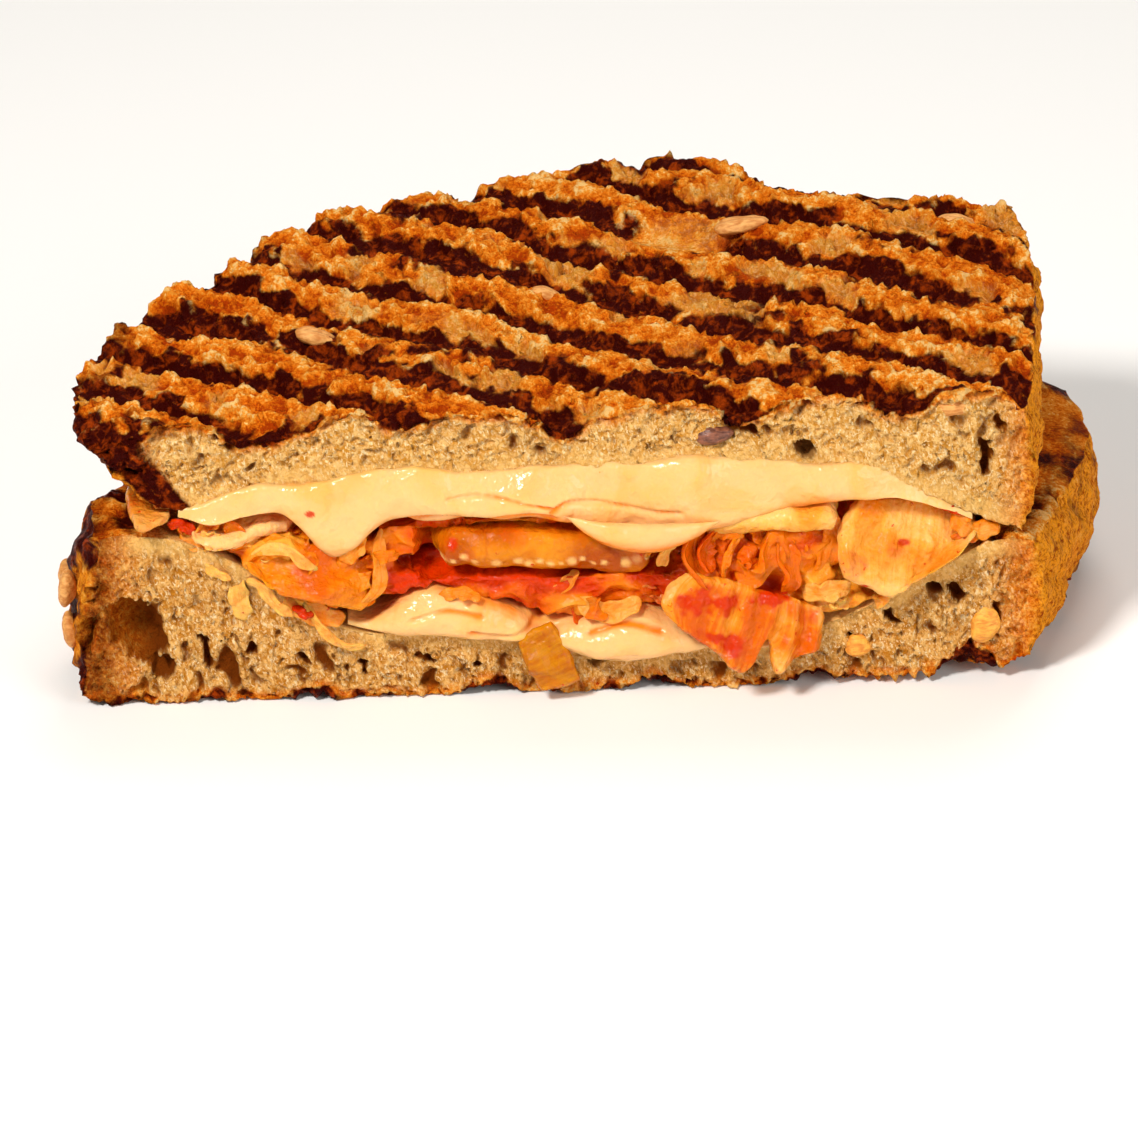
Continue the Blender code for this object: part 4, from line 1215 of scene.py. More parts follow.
@dataclass
class Cheeses:
    """Both layers of melted cheese and the tongue that droops from the upper one.

    Attributes:
        creep: how far the upper layer climbs over the edge of the bread.
        lip: how far it swells out of the cut.
    """

    creep: float = 1.3
    lip: float = 2.0

    def upper(self, s: Array, t: Array, h: Array) -> Array:
        """A sheet under the roof whose front swells out and creeps up over the bread's edge."""
        x, y = filling_plan(s, t)
        low, top = cheese_underside(x, y), roof(x, y) - LAYER_GAP
        at_cut = np.exp(-t / 0.012)
        creep = self.creep + 0.6 * ripple(x, 0 * x, 13.0, 61) + 0.1 * ripple(x, 0 * x, 2.6, 62)
        fade = ease(x, -44.0, -38.0) * (1.0 - ease(x, 40.0, 46.0))
        thin = ease(s, 0.0, 0.05) * (1.0 - 0.65 * ease(s, 0.80, 0.92)) * (1.0 - ease(s, 0.93, 1.0))
        low = top - 0.35 - (top - 0.35 - low) * thin
        top = top + (LAYER_GAP + creep * fade) * at_cut * h ** 3
        bulge = swollen(h) * (1.15 - 0.35 * h)
        reach = (self.lip + 0.7 * ripple(x, h * 9.0, 17.0, 31)) * (0.25 + 0.75 * thin)
        front = (1.0 - t) ** FRONT_FADE
        y = y - reach * bulge * front - 0.25 * h ** 3 * at_cut
        return np.stack([x, y, low + h * (top - low)], 1)

    def lower(self, s: Array, t: Array, h: Array) -> Array:
        """Two swollen lobes on the lower slice that lip over its edge."""
        start, end = LOWER_SPAN
        x, y = filling_plan(start + s * (end - start), t)
        low, top = floor(x, y) + LAYER_GAP, lower_cheese_top(x, y)
        at_cut = np.exp(-t / 0.02)
        top = top - 1.3 * mound(x, LOBE_VALLEY, 2.2) * at_cut
        taper = ease(s, 0.0, 0.16) * (1.0 - ease(s, 0.90, 1.0))
        top = low + 0.4 + (top - low - 0.4) * (0.1 + 0.9 * taper)
        low = low - (0.9 * taper + 0.8 * mound(x, LARGE_LOBE, 6.0)) * at_cut
        bulge = swollen(h) * (1.2 - 0.45 * h)
        reach = 2.4 + 1.4 * mound(x, LARGE_LOBE, 8.0) - 0.9 * mound(x, LOBE_VALLEY, 2.4)
        y = y - reach * bulge * (0.1 + 0.9 * taper) * (1.0 - t) ** FRONT_FADE
        return np.stack([x, y, low + h * (top - low)], 1)

    def tongue(self, s: Array, t: Array, h: Array) -> Array:
        """A flattened drop along a curve: half a lens that thins to its ends."""
        ball = rounded_cube(s, t, h, 0.9)
        u = (ball[:, 0] + 1.0) / 2.0
        path = along(TONGUE_PATH, u)
        swell = np.sin(np.pi * np.clip(u, 0.03, 0.97)) ** 0.6
        height = 1.9 * swell * ball[:, 2]
        depth = 1.5 * swell * ball[:, 1]
        return path + np.stack([0 * u, depth, height - 0.3 * depth], 1)

    def sheet(self, surface: Surface, stain: Array) -> Surface:
        """Gives a layer soft waves, its creases with darker orange along them, and the orange that has
        run into it.

        Args:
            surface: the layer, still smooth.
            stain: how much orange it has at each point, from 0 to 1, before the creases.

        Returns:
            The same layer, in relief and with the values that colour it.
        """
        p = surface.points
        groove = np.zeros(len(p))
        at_front = surface.unit[:, 1] < FRONT_SHARE
        for crease in CREASES:
            near_by = crease.weight(p[at_front, 0], p[at_front, 2])
            groove[at_front] = np.maximum(groove[at_front], near_by)
        surface.pushed(0.3 * noise(p, 4.5, 63) + 0.12 * noise(p, 1.8, 64) - 0.45 * groove)
        # The creases get darker orange along them as well.
        surface.value("stain", np.clip(0.8 * stain + groove * (0.5 + 0.4 * noise(p, 2.5, 68)), 0, 1))
        spot = np.hypot((p[:, 0] - CHILLI_AT[0]) / CHILLI_HALF[0],
                        (p[:, 2] - CHILLI_AT[1]) / CHILLI_HALF[1])
        return surface.value("chilli", 1.0 - ease(spot, 0.8, 1.1))

    def layer(self, count: int, shape: Callable[[Array, Array, Array], Array]) -> Surface:
        """The smooth skin of a layer, with more grid lines near the cut."""
        near = np.concatenate([np.linspace(0, 0.12, 26)[:-1], np.linspace(0.12, 1, 30)])
        lines = [np.linspace(0, 1, count), near, np.linspace(0, 1, 44)]
        return box_surface((count, len(near), 44), shape, lines)

    def build(self, material: bpy.types.Material) -> None:
        """Makes the three pieces: stained at the lower edge above and at the upper edge below."""
        surface = self.layer(380, self.upper)
        clouds = ease(noise(surface.points, 5.0, 65), 0.2, 0.7)
        surface = self.sheet(surface, 0.8 * (1.0 - surface.unit[:, 2]) ** 4 + 0.4 * clouds)
        make_piece("upper_cheese", surface, material, ["cheese_top"])
        surface = self.layer(260, self.lower)
        clouds = ease(noise(surface.points, 4.0, 66), 0.2, 0.7)
        surface = self.sheet(surface, 0.6 * surface.unit[:, 2] ** 3 + 0.3 * clouds)
        make_piece("lower_cheese", surface, material, ["cheese_bottom"])
        surface = box_surface((120, 24, 24), self.tongue)
        surface.pushed(0.12 * noise(surface.points, 3.0, 67))
        surface.value("stain", np.clip(0.55 * (1.0 - surface.unit[:, 2]) ** 3 + 0.2, 0, 1))
        make_piece("cheese_tongue", surface, material, ["cheese_top"])


# Kimchi

DOT_ROW = (-14.0, 18.8)             # where the row of pale dots starts, along and up
DOT_STEP = 1.25                     # how far apart the dots lie
DOT_SLOPE = 0.055                   # how fast the row falls
DOT_PIVOT = -10.0
MOST_RED = 0.85


@dataclass(frozen=True)
class CutPiece:
    """A cut piece of cabbage that is a CAD node: a slab, arched, tapered and turned into place.

    Attributes:
        node: the CAD node it replaces.
        at, half, turn: its middle, half sizes, and turns about the three axes in degrees.
        arch, taper: how far it is bent up, and how much narrower its right end is.
        hangs: whether it hangs in front of the lower slice.
        ribs, waves: height of its ribs and of its waves.
        red: how much paste it has.
        grain_across: whether its ribs and streaks run across it.
        edge: how far its front edge reaches, along its length.
        light, streaks: how pale and how streaky it is.
        counts: grid lines along its three sides.
    """

    node: str
    at: tuple[float, float, float]
    half: tuple[float, float, float]
    turn: tuple[float, float, float]
    arch: float
    taper: float
    hangs: bool = False
    ribs: float = 0.0
    waves: float = 0.25
    red: float = 0.1
    grain_across: bool = False
    edge: tuple = ()
    light: float = 0.55
    streaks: float = 0.4
    counts: tuple[int, int, int] = (90, 60, 14)

    def shape(self, s: Array, t: Array, h: Array) -> Array:
        """The CAD piece's own form, with rounder edges, ribs along it and waves across it."""
        u = rounded_cube(s, t, h, 0.35)
        local = u * np.array(self.half)
        rim = np.abs(u[:, 0]) ** 4 * 0.10 + np.abs(u[:, 1]) ** 4 * 0.12
        local[:, 2] *= 1.0 - np.clip(rim * 1.2, 0.0, 0.6)
        if self.edge:
            front = profile(self.edge, u[:, 0])
            local[:, 1] = np.where(local[:, 1] < 0.0, local[:, 1] * front, local[:, 1])
        local[:, 1] *= 1.0 - self.taper * u[:, 0]
        local[:, 0] *= 1.0 - 0.10 * u[:, 1] ** 2
        rib = np.cos((u[:, 0] * 1.9 if self.grain_across else u[:, 1]) * math.pi * 3.5 + 0.8 * u[:, 1])
        local[:, 2] += self.ribs * rib * (0.6 + 0.4 * u[:, 0])
        local[:, 2] += self.waves * ripple(local[:, 0], local[:, 1], 5.0, len(self.node))
        local[:, 2] += self.arch * (1.0 - u[:, 0] ** 2) - self.arch * 0.5
        rotation = np.array(Euler([math.radians(a) for a in self.turn]).to_matrix())
        x, y, z = (local @ rotation.T + np.array(self.at)).T
        ground = floor(x, np.maximum(y, 0.0)) + BREAD_ROOM
        if self.hangs:
            y = np.where(z < ground + 0.6, np.minimum(y, -BREAD_ROOM), y)
        else:
            ceiling = roof(x, np.maximum(y, 0.0)) - BREAD_ROOM
            thin = self.half[2]
            z = np.minimum(np.maximum(z, ground + h * thin), ceiling - (1.0 - h) * thin)
        return np.stack([x, y, z], 1)

    def build(self, material: bpy.types.Material) -> bpy.types.Object:
        """Makes the piece, with the values that place its streaks, dots and paste."""
        surface = box_surface(self.counts, self.shape)
        p = surface.points
        surface.pushed(0.22 * noise(p, 2.4, 80) + 0.14 * noise(p, 1.2, 81) + 0.06 * noise(p, 0.6, 82))
        s, t, _ = surface.unit.T
        if self.grain_across:
            s, t = t, s * 2.2
        surface.value("along", s).value("across", t).value("tone", len(self.node) / 16.0)
        red = self.red + 0.3 * ease(noise(p, 3.2, 83), 0.4, 0.8)
        for node, x, z, wide, high in PASTE_SPOTS:
            if node == self.node:
                gap = np.hypot((p[:, 0] - x) / wide, (p[:, 2] - z) / high)
                red = red + 1.0 * (1.0 - ease(gap + 0.5 * noise(p, 0.8, 86), 0.1, 1.5))
        surface.value("red", np.clip(red, 0.0, MOST_RED))
        edge = np.abs(2.0 * surface.unit[:, :2] - 1.0).max(axis=1)
        surface.value("light", self.light + 0.12 * ease(edge, 0.8, 1.0) + 0.4 * noise(p, 3.6, 87))
        if self.node == "stem_middle":
            surface.value("dots", self.dots(p))
        return make_piece(f"{self.node}_leaf", surface, material, [self.node])

    def dots(self, p: Array) -> Array:
        """A row of pale spots along the middle of the cut stem, each a soft disc on its front."""
        x, z = p[:, 0], p[:, 2] - DOT_ROW[1] + DOT_SLOPE * (p[:, 0] - DOT_PIVOT)
        number = np.round((x - DOT_ROW[0]) / DOT_STEP)
        cells = np.stack([number, 0 * number, 0 * number], 1).astype(np.int64)
        size = 0.25 + 0.5 * hashed(cells, 84)
        middle = (hashed(cells, 85) - 0.5) * 0.9
        gap = np.hypot((x - DOT_ROW[0] - number * DOT_STEP) / 1.15, z - middle)
        return (1.0 - ease(gap, 0.3 * size, 1.1 * size)) * (p[:, 1] < 1.0) * (hashed(cells, 88) > 0.18)


PASTE_SPOTS = [
    # node, place at the cut, half width and height
    ("stem_ribbed", 16.6, 13.6, 2.6, 1.3),
    ("stem_ribbed", 20.2, 13.0, 1.6, 1.2),
    ("stem_ribbed", 20.8, 8.4, 1.3, 1.0),
    ("stem_ribbed", 18.6, 9.4, 0.9, 0.5),
    ("stem_ribbed", 12.0, 9.0, 0.8, 0.6),
    ("stem_ribbed", 25.6, 13.0, 2.2, 0.8),
    ("stem_right", 41.2, 18.8, 0.7, 0.45),
    ("stem_right", 36.2, 14.6, 0.5, 0.3),
    ("stem_middle", -11.6, 20.6, 0.7, 0.7),
    ("leaf_left", -34.3, 15.0, 0.6, 0.5),
    ("leaf_left", -31.8, 14.8, 0.7, 0.6),
]
RAGGED_EDGE = ((-1.0, 0.55), (-0.6, 0.8), (-0.2, 1.0), (0.12, 1.25), (0.26, 1.1), (0.34, 0.35),
               (0.44, 0.35), (0.62, 1.0), (0.72, 0.9), (0.86, 0.4), (1.0, 0.3))

CUT_PIECES = [
    CutPiece("stem_middle", (-0.4, 7.4, 18.9), (14.0, 9.4, 2.8), (-1, 5, -2), 0.6, 0.12, waves=0.2,
             light=0.32),
    CutPiece("stem_right", (41.4, 0.2, 17.8), (8.4, 6.2, 1.4), (60, 14, 4), -0.6, -0.2, ribs=0.05,
             grain_across=True, light=0.5, streaks=0.5),
    CutPiece("stem_upper_right", (24.8, 6.0, 22.2), (8.8, 7.8, 1.5), (3, -5, 4), 0.4, -0.2, light=0.62,
             streaks=0.9),
    CutPiece("stem_ribbed", (22.0, -2.9, 10.2), (10.2, 4.4, 1.0), (72, 22, 3), 0.6, -0.1, hangs=True,
             ribs=0.5, red=0.2, edge=RAGGED_EDGE, light=0.38, streaks=1.0, grain_across=True),
    CutPiece("stem_left", (-35.6, 6.4, 22.2), (6.4, 7.4, 1.1), (4, -8, -4), 0.3, 0.3, light=0.75),
    CutPiece("stem_far_left", (-46.4, 2.6, 24.3), (2.4, 4.4, 0.7), (2, 4, 8), 0.2, 0.3, light=0.6),
    CutPiece("leaf_left", (-27.8, -0.3, 16.9), (8.0, 3.4, 0.8), (56, 16, -3), 1.8, 0.1, waves=0.7,
             light=0.32),
    CutPiece("leaf_curled", (23.6, 1.6, 17.0), (5.6, 2.7, 0.9), (66, -8, 8), 1.8, 0.2, waves=0.8,
             red=0.3, light=0.25),
    CutPiece("stem_hanging", (-0.6, -2.0, 5.6), (2.7, 4.0, 0.7), (80, -24, 4), 0.4, -0.1, hangs=True,
             waves=0.4, light=0.25, streaks=0.8),
]
STEM_COLOURS = {
    # pale, middle and deep
    "stem_middle": ((0.76, 0.28, 0.010), (0.62, 0.16, 0.002), (0.42, 0.07, 0.001)),
    "stem_right": ((0.90, 0.50, 0.14), (0.84, 0.34, 0.035), (0.74, 0.20, 0.004)),
    "stem_upper_right": ((0.90, 0.52, 0.15), (0.84, 0.36, 0.04), (0.76, 0.22, 0.006)),
    "stem_ribbed": ((0.90, 0.48, 0.13), (0.80, 0.27, 0.012), (0.66, 0.11, 0.001)),
    "stem_left": ((0.90, 0.50, 0.18), (0.82, 0.36, 0.06), (0.72, 0.22, 0.008)),
    "stem_far_left": ((0.80, 0.38, 0.09), (0.70, 0.24, 0.02), (0.58, 0.12, 0.004)),
    "leaf_left": ((0.90, 0.42, 0.04), (0.78, 0.22, 0.003), (0.66, 0.11, 0.001)),
    "leaf_curled": ((0.84, 0.22, 0.012), (0.72, 0.09, 0.002), (0.54, 0.03, 0.001)),
    "stem_hanging": ((0.70, 0.35, 0.010), (0.58, 0.21, 0.002), (0.44, 0.10, 0.001)),
}
RIBBON_SINK = 1.0                   # how far the strips are set back into the heap


@dataclass(frozen=True)
class Ribbon:
    """A shred, rib or folded edge of leaf: a strip carried along a path.

    Attributes:
        path: points that its middle goes through.
        width, thick: half its width and half its thickness.
        twist, stand, ripples: how its face turns along it, its first turn, and how it sways.
        red, tone: how much paste it has, and how pale it is.
        curl, ruffle: how its section bends, and how its edges wave.
    """

    path: tuple
    width: float
    thick: float
    twist: float = 0.0
    red: float = 0.3
    tone: float = 0.5
    ripples: float = 0.2
    stand: float = 0.0
    curl: float = 1.1
    ruffle: float = 0.3

    def axes(self, u: Array) -> tuple[Array, Array]:
        """Directions across the strip and up from its face, which turns by twist along it."""
        before, after = np.clip(u - 0.02, 0, 1), np.clip(u + 0.02, 0, 1)
        ahead = along(self.path, after) - along(self.path, before)
        ahead /= np.maximum(np.linalg.norm(ahead, axis=1, keepdims=True), SMALLEST)
        side = np.cross(ahead, np.array((0.1, -1.0, 0.15)))
        side /= np.maximum(np.linalg.norm(side, axis=1, keepdims=True), SMALLEST)
        face = np.cross(side, ahead)
        sway = self.ripples * np.sin(u * 11.0 + self.tone * 9.0)
        turn = (self.stand + self.twist * (u - 0.3) + sway)[:, None]
        return side * np.cos(turn) + face * np.sin(turn), face * np.cos(turn) - side * np.sin(turn)

    def shape(self, s: Array, t: Array, h: Array) -> Array:
        """Points whose middle follows the path and whose section is part of a circle, ruffled."""
        ball = rounded_cube(s, t, h, 0.75)
        u, v = (ball[:, 0] + 1.0) / 2.0, ball[:, 1]
        across, up = self.axes(u)
        uneven = 0.12 * np.sin(u * 17 + self.tone * 7)
        width = self.width * (0.75 + 0.25 * np.sin(np.pi * u) + uneven)
        bend = self.curl * v
        out = np.sin(bend) / self.curl * width
        lift = (1.0 - np.cos(bend)) / self.curl * width
        lift = lift + self.ruffle * v * v * np.sin(u * 14.0 + self.tone * 20.0 + 2.0 * np.sign(v))
        thick = self.thick * ball[:, 2] * (1.0 - 0.45 * np.abs(v))
        offset = across * (out - thick * np.sin(bend))[:, None]
        rise = up * (lift + thick * np.cos(bend) - 0.4 * self.width)[:, None]
        return along(self.path, u) + offset + rise

    def surface(self) -> Surface:
        """A rounded strip, set back into the heap, with the values that colour it."""
        made = box_surface((44, 19, 5), self.shape)
        made.pushed(0.06 * noise(made.points, 0.8, 91))
        made.points[:, 1] += RIBBON_SINK
        s, t, _ = made.unit.T
        return (made.value("along", s).value("across", t * 0.4).value("tone", self.tone)
                .value("red", self.red).value("light", 0.3 + 0.6 * self.tone))


RIBBONS = [
    # pale ribs and edges at the left
    Ribbon(((-35.1, -1.0, 18.3), (-33.9, -1.8, 20.0), (-32.0, -2.4, 20.8), (-30.2, -2.7, 20.4),
            (-28.8, -2.8, 19.0), (-27.0, -2.6, 18.0)), 0.9, 0.4, 0.3, 0.0, 1.0, curl=1.6),
    Ribbon(((-41.0, -0.8, 18.7), (-39.0, -1.4, 17.3), (-37.2, -1.8, 16.6)), 0.6, 0.4, 0.2, 0.0, 0.95),
    Ribbon(((-35.6, -1.4, 16.3), (-34.0, -2.2, 15.8), (-32.0, -2.6, 13.4), (-30.0, -2.4, 11.7)),
           0.75, 0.45, 0.2, 0.0, 0.98),
    Ribbon(((-28.9, -1.6, 13.4), (-27.6, -2.2, 11.0), (-25.9, -2.6, 9.0), (-24.0, -2.5, 7.6),
            (-21.6, -1.6, 7.2)), 0.6, 0.4, 0.0, 0.0, 0.9),
    Ribbon(((-36.8, -0.8, 17.0), (-36.4, -1.6, 14.4), (-35.6, -1.3, 10.6)), 1.3, 0.25, 0.1, 0.0, 0.95,
           curl=0.5),
    # red and orange bits beside the far left stem
    Ribbon(((-44.4, -0.4, 23.0), (-42.6, -1.0, 23.4), (-41.0, -0.8, 22.2)), 0.8, 0.5, 0.9, 0.9, 0.2),
    Ribbon(((-43.2, -0.2, 21.8), (-41.4, -0.8, 21.2), (-39.4, -0.8, 20.6)), 1.3, 0.5, 0.7, 0.2, 0.6),
    # beside the drip and the strand that hangs from the cheese
    Ribbon(((-24.6, -2.0, 18.4), (-22.8, -2.2, 20.2), (-22.0, -1.6, 22.0)), 1.2, 0.5, 0.4, 0.1, 0.5),
    Ribbon(((-19.8, -0.8, 22.2), (-20.0, -2.0, 18.6), (-20.2, -2.4, 15.2), (-22.4, -2.4, 12.6)),
           0.95, 0.5, 0.5, 0.25, 0.6),
    Ribbon(((-27.8, -2.4, 15.8), (-26.2, -2.8, 16.2), (-24.6, -2.6, 16.0)), 0.95, 0.5, 0.3, 0.1, 0.55),
    # the leaf's lower end, tucked in beside the lower cheese
    Ribbon(((-31.6, -1.0, 13.6), (-29.2, -1.6, 12.4), (-26.6, -1.6, 11.2), (-24.0, -1.2, 10.6)),
           1.5, 0.6, 0.2, 0.1, 0.6, curl=0.8),
    Ribbon(((-30.2, -1.9, 12.9), (-28.8, -2.3, 12.0), (-27.6, -2.0, 11.4)), 0.6, 0.5, 0.2, 0.9, 0.2,
           curl=0.8),
    # shreds at the edge of the lower cheese
    Ribbon(((-13.4, -1.8, 13.4), (-10.8, -2.6, 14.4), (-8.2, -2.6, 13.6)), 0.9, 0.4, 0.5, 0.2, 0.5),
    Ribbon(((2.6, -2.0, 12.6), (6.4, -2.9, 11.4), (10.4, -2.8, 12.8)), 1.6, 0.4, 0.6, 0.15, 0.65),
    # folds to the right of the middle stem
    Ribbon(((11.0, -1.0, 21.0), (11.2, -1.6, 19.4), (11.0, -1.6, 17.6)), 0.5, 0.4, 0.3, 0.1, 0.6),
    Ribbon(((15.2, -1.2, 22.4), (13.8, -2.2, 20.4), (12.9, -2.6, 18.2), (12.4, -2.2, 16.6)),
           1.0, 0.4, 0.3, 0.0, 0.85, curl=1.6),
    # the curled leaves at the right, seen on their edges
    Ribbon(((18.9, -0.8, 21.2), (17.2, -2.0, 20.8), (16.4, -2.6, 18.6), (17.2, -3.0, 16.5),
            (18.9, -3.0, 15.2), (20.6, -2.6, 14.8)), 2.1, 0.45, 0.4, 0.4, 0.15, stand=0.6, curl=1.4),
    Ribbon(((19.6, -1.2, 20.2), (18.2, -2.2, 19.4), (18.0, -2.6, 17.8), (19.2, -2.8, 16.6)),
           1.7, 0.4, 0.5, 0.5, 0.05, stand=0.5, curl=1.2),
    Ribbon(((22.2, -1.2, 21.0), (20.8, -2.4, 18.9), (20.0, -2.8, 16.6), (20.2, -2.6, 14.8)),
           0.5, 0.4, 0.4, 0.3, 0.4),
    Ribbon(((26.4, -1.2, 21.2), (25.6, -2.8, 18.8), (24.4, -3.3, 16.2), (22.8, -3.0, 15.6),
            (20.9, -2.4, 16.9)), 2.2, 0.45, 0.5, 0.3, 0.25, stand=0.4, curl=1.5),
    Ribbon(((21.6, -2.2, 18.8), (23.0, -3.0, 18.2), (23.6, -3.2, 16.6)), 1.5, 0.4, 0.8, 0.45, 0.15,
           stand=0.5),
    Ribbon(((26.6, -1.0, 21.0), (27.4, -2.4, 18.0), (28.0, -3.0, 14.6), (27.2, -2.8, 12.8)),
           1.8, 0.45, 0.6, 0.35, 0.15, stand=0.3, curl=1.4),
    Ribbon(((28.2, -0.6, 21.4), (28.8, -1.4, 19.4), (28.9, -1.6, 17.0)), 1.1, 0.3, 0.2, 0.35, 0.3),
    Ribbon(((32.6, -0.2, 22.4), (32.9, -0.8, 19.8), (32.2, -1.2, 16.8), (31.2, -1.4, 14.4)),
           1.5, 0.6, 0.2, 0.25, 0.4, curl=0.8),
    Ribbon(((29.0, -2.0, 13.4), (31.0, -2.8, 13.0), (33.4, -2.8, 13.6), (35.2, -2.0, 12.8)),
           1.5, 0.5, 0.5, 0.0, 0.8),
    Ribbon(((30.6, -1.8, 11.4), (32.6, -2.2, 11.8), (34.8, -1.8, 12.0)), 1.2, 0.4, 0.5, 0.0, 0.85),
    # bits at the right end
    Ribbon(((46.6, -0.6, 21.8), (48.0, -1.2, 20.6), (49.6, -1.0, 19.6)), 1.3, 0.5, 0.8, 0.2, 0.5),
    Ribbon(((45.2, -0.4, 22.8), (46.8, -0.9, 22.6), (48.4, -0.8, 22.0)), 0.5, 0.4, 0.5, 0.9, 0.2),
    Ribbon(((47.0, -0.2, 20.0), (49.6, -0.7, 19.7), (52.6, -0.3, 19.8)), 1.3, 0.7, 0.4, 0.0, 0.5),
    Ribbon(((46.4, -0.4, 18.4), (48.2, -0.9, 18.8), (50.4, -0.6, 19.2)), 0.8, 0.5, 0.6, 0.4, 0.4),
]

FOLDS = [
    # the translucent leaf at the left
    Fold(((-42.0, 20.6), (-38.0, 20.2), (-34.0, 20.4), (-30.0, 21.0)), 1.2, 0.6, 0.55, 0.0),
    Fold(((-41.0, 18.9), (-37.4, 16.9), (-33.6, 15.4), (-30.4, 12.2)), 0.9, 1.0, 0.75, 0.0),
    Fold(((-35.2, 18.4), (-33.9, 20.0), (-31.0, 20.7), (-28.6, 19.0), (-26.8, 18.2)), 0.8, 1.1, 0.8,
         0.0),
    Fold(((-33.6, 18.6), (-33.2, 17.2), (-33.0, 16.0)), 0.6, 0.9, 0.45, 0.0),
    Fold(((-31.6, 18.4), (-31.2, 16.8), (-31.2, 15.6)), 0.6, 0.8, 0.4, 0.1),
    Fold(((-32.6, 12.6), (-31.0, 11.6), (-28.8, 10.8)), 1.0, 0.7, 0.55, 0.0),
    Fold(((-28.8, 13.2), (-26.6, 10.4), (-23.8, 8.4)), 0.7, 1.0, 0.85, 0.0),
    Fold(((-25.6, 14.4), (-23.6, 14.4), (-22.0, 13.4)), 1.2, 1.0, 0.5, 0.1),
    Fold(((-26.0, 11.8), (-25.0, 11.0)), 0.9, 0.5, 0.4, 1.0),
    Fold(((-24.4, 18.4), (-22.4, 20.6)), 0.9, 1.0, 0.45, 0.1),
    # paste and shreds under the middle stem
    Fold(((-19.0, 16.4), (-14.0, 15.4), (-8.0, 15.8), (-2.0, 15.4)), 0.8, 0.6, 0.2, 1.0),
    Fold(((-18.0, 14.6), (-15.0, 14.8), (-12.6, 14.0)), 0.8, 0.9, 0.3, 0.9),
    Fold(((-13.4, 13.6), (-10.8, 14.4), (-8.0, 13.6)), 0.8, 1.1, 0.5, 0.2),
    Fold(((-6.6, 13.2), (-4.4, 14.2), (-2.0, 13.4)), 0.8, 1.1, 0.45, 0.5),
    Fold(((-1.4, 14.6), (2.0, 13.6), (5.0, 14.4)), 1.0, 1.0, 0.4, 0.8),
    Fold(((0.6, 12.6), (3.6, 12.0), (6.0, 11.4), (9.6, 12.4)), 1.2, 1.2, 0.6, 0.1),
    Fold(((7.0, 15.4), (9.4, 14.4), (11.0, 12.8)), 0.9, 1.0, 0.45, 0.3),
    # the curled leaves
    Fold(((15.2, 22.4), (13.8, 20.2), (12.6, 17.4)), 0.7, 1.2, 0.8, 0.0),
    Fold(((18.9, 21.3), (17.0, 20.8), (16.4, 18.6), (17.4, 16.4), (20.2, 14.8)), 0.9, 1.4, 0.35, 0.4),
    Fold(((22.2, 21.0), (20.6, 18.8), (20.0, 15.2)), 0.6, 1.2, 0.4, 0.4),
    Fold(((26.4, 21.2), (25.4, 18.6), (24.0, 15.4), (20.9, 16.6)), 1.0, 1.6, 0.45, 0.35),
    Fold(((26.6, 21.0), (27.4, 17.8), (27.8, 14.0)), 1.0, 1.4, 0.35, 0.35),
    Fold(((29.0, 21.4), (29.4, 18.0), (29.0, 15.4)), 1.1, 0.9, 0.4, 0.2),
    Fold(((15.4, 14.6), (19.0, 13.6), (24.0, 13.4), (27.0, 12.4)), 1.1, 0.9, 0.2, 1.0),
    # pale lobes at the right
    Fold(((30.0, 13.4), (33.0, 14.2), (35.6, 12.6)), 1.4, 1.2, 0.85, 0.0),
    Fold(((31.0, 10.6), (33.6, 11.4), (36.6, 12.0)), 1.2, 0.8, 0.9, 0.0),
]
KEPT_CLEAR = [
    # left, right, bottom and top of where no stray shred lies: the middle stem and the right one
    (-14.0, 13.5, 15.6, 22.0),
    (33.0, 47.0, 12.5, 99.0),
]
# Dents in the front of the heap, painted dark inside as shade.
DENTS = [
    # place at the cut, half width and height, depth
    (-21.2, 21.6, 0.9, 0.9, 2.6),
    (-22.0, 18.0, 0.8, 1.3, 1.6),
    (-15.8, 17.4, 2.4, 1.1, 2.4),
    (-29.6, 22.6, 1.6, 0.7, 2.0),
    (-42.8, 19.8, 1.0, 0.8, 2.0),
    (14.8, 18.8, 1.1, 2.2, 2.4),
    (20.8, 20.8, 0.8, 0.8, 2.0),
    (23.6, 20.0, 1.2, 1.2, 2.0),
    (22.4, 13.9, 1.8, 0.5, 1.2),
]
STRAY_RANGE = (-40.0, 47.0)
CHEESE_LEFT, CHEESE_RIGHT = -24.0, 17.0     # where the heap rests on the lower cheese at the cut


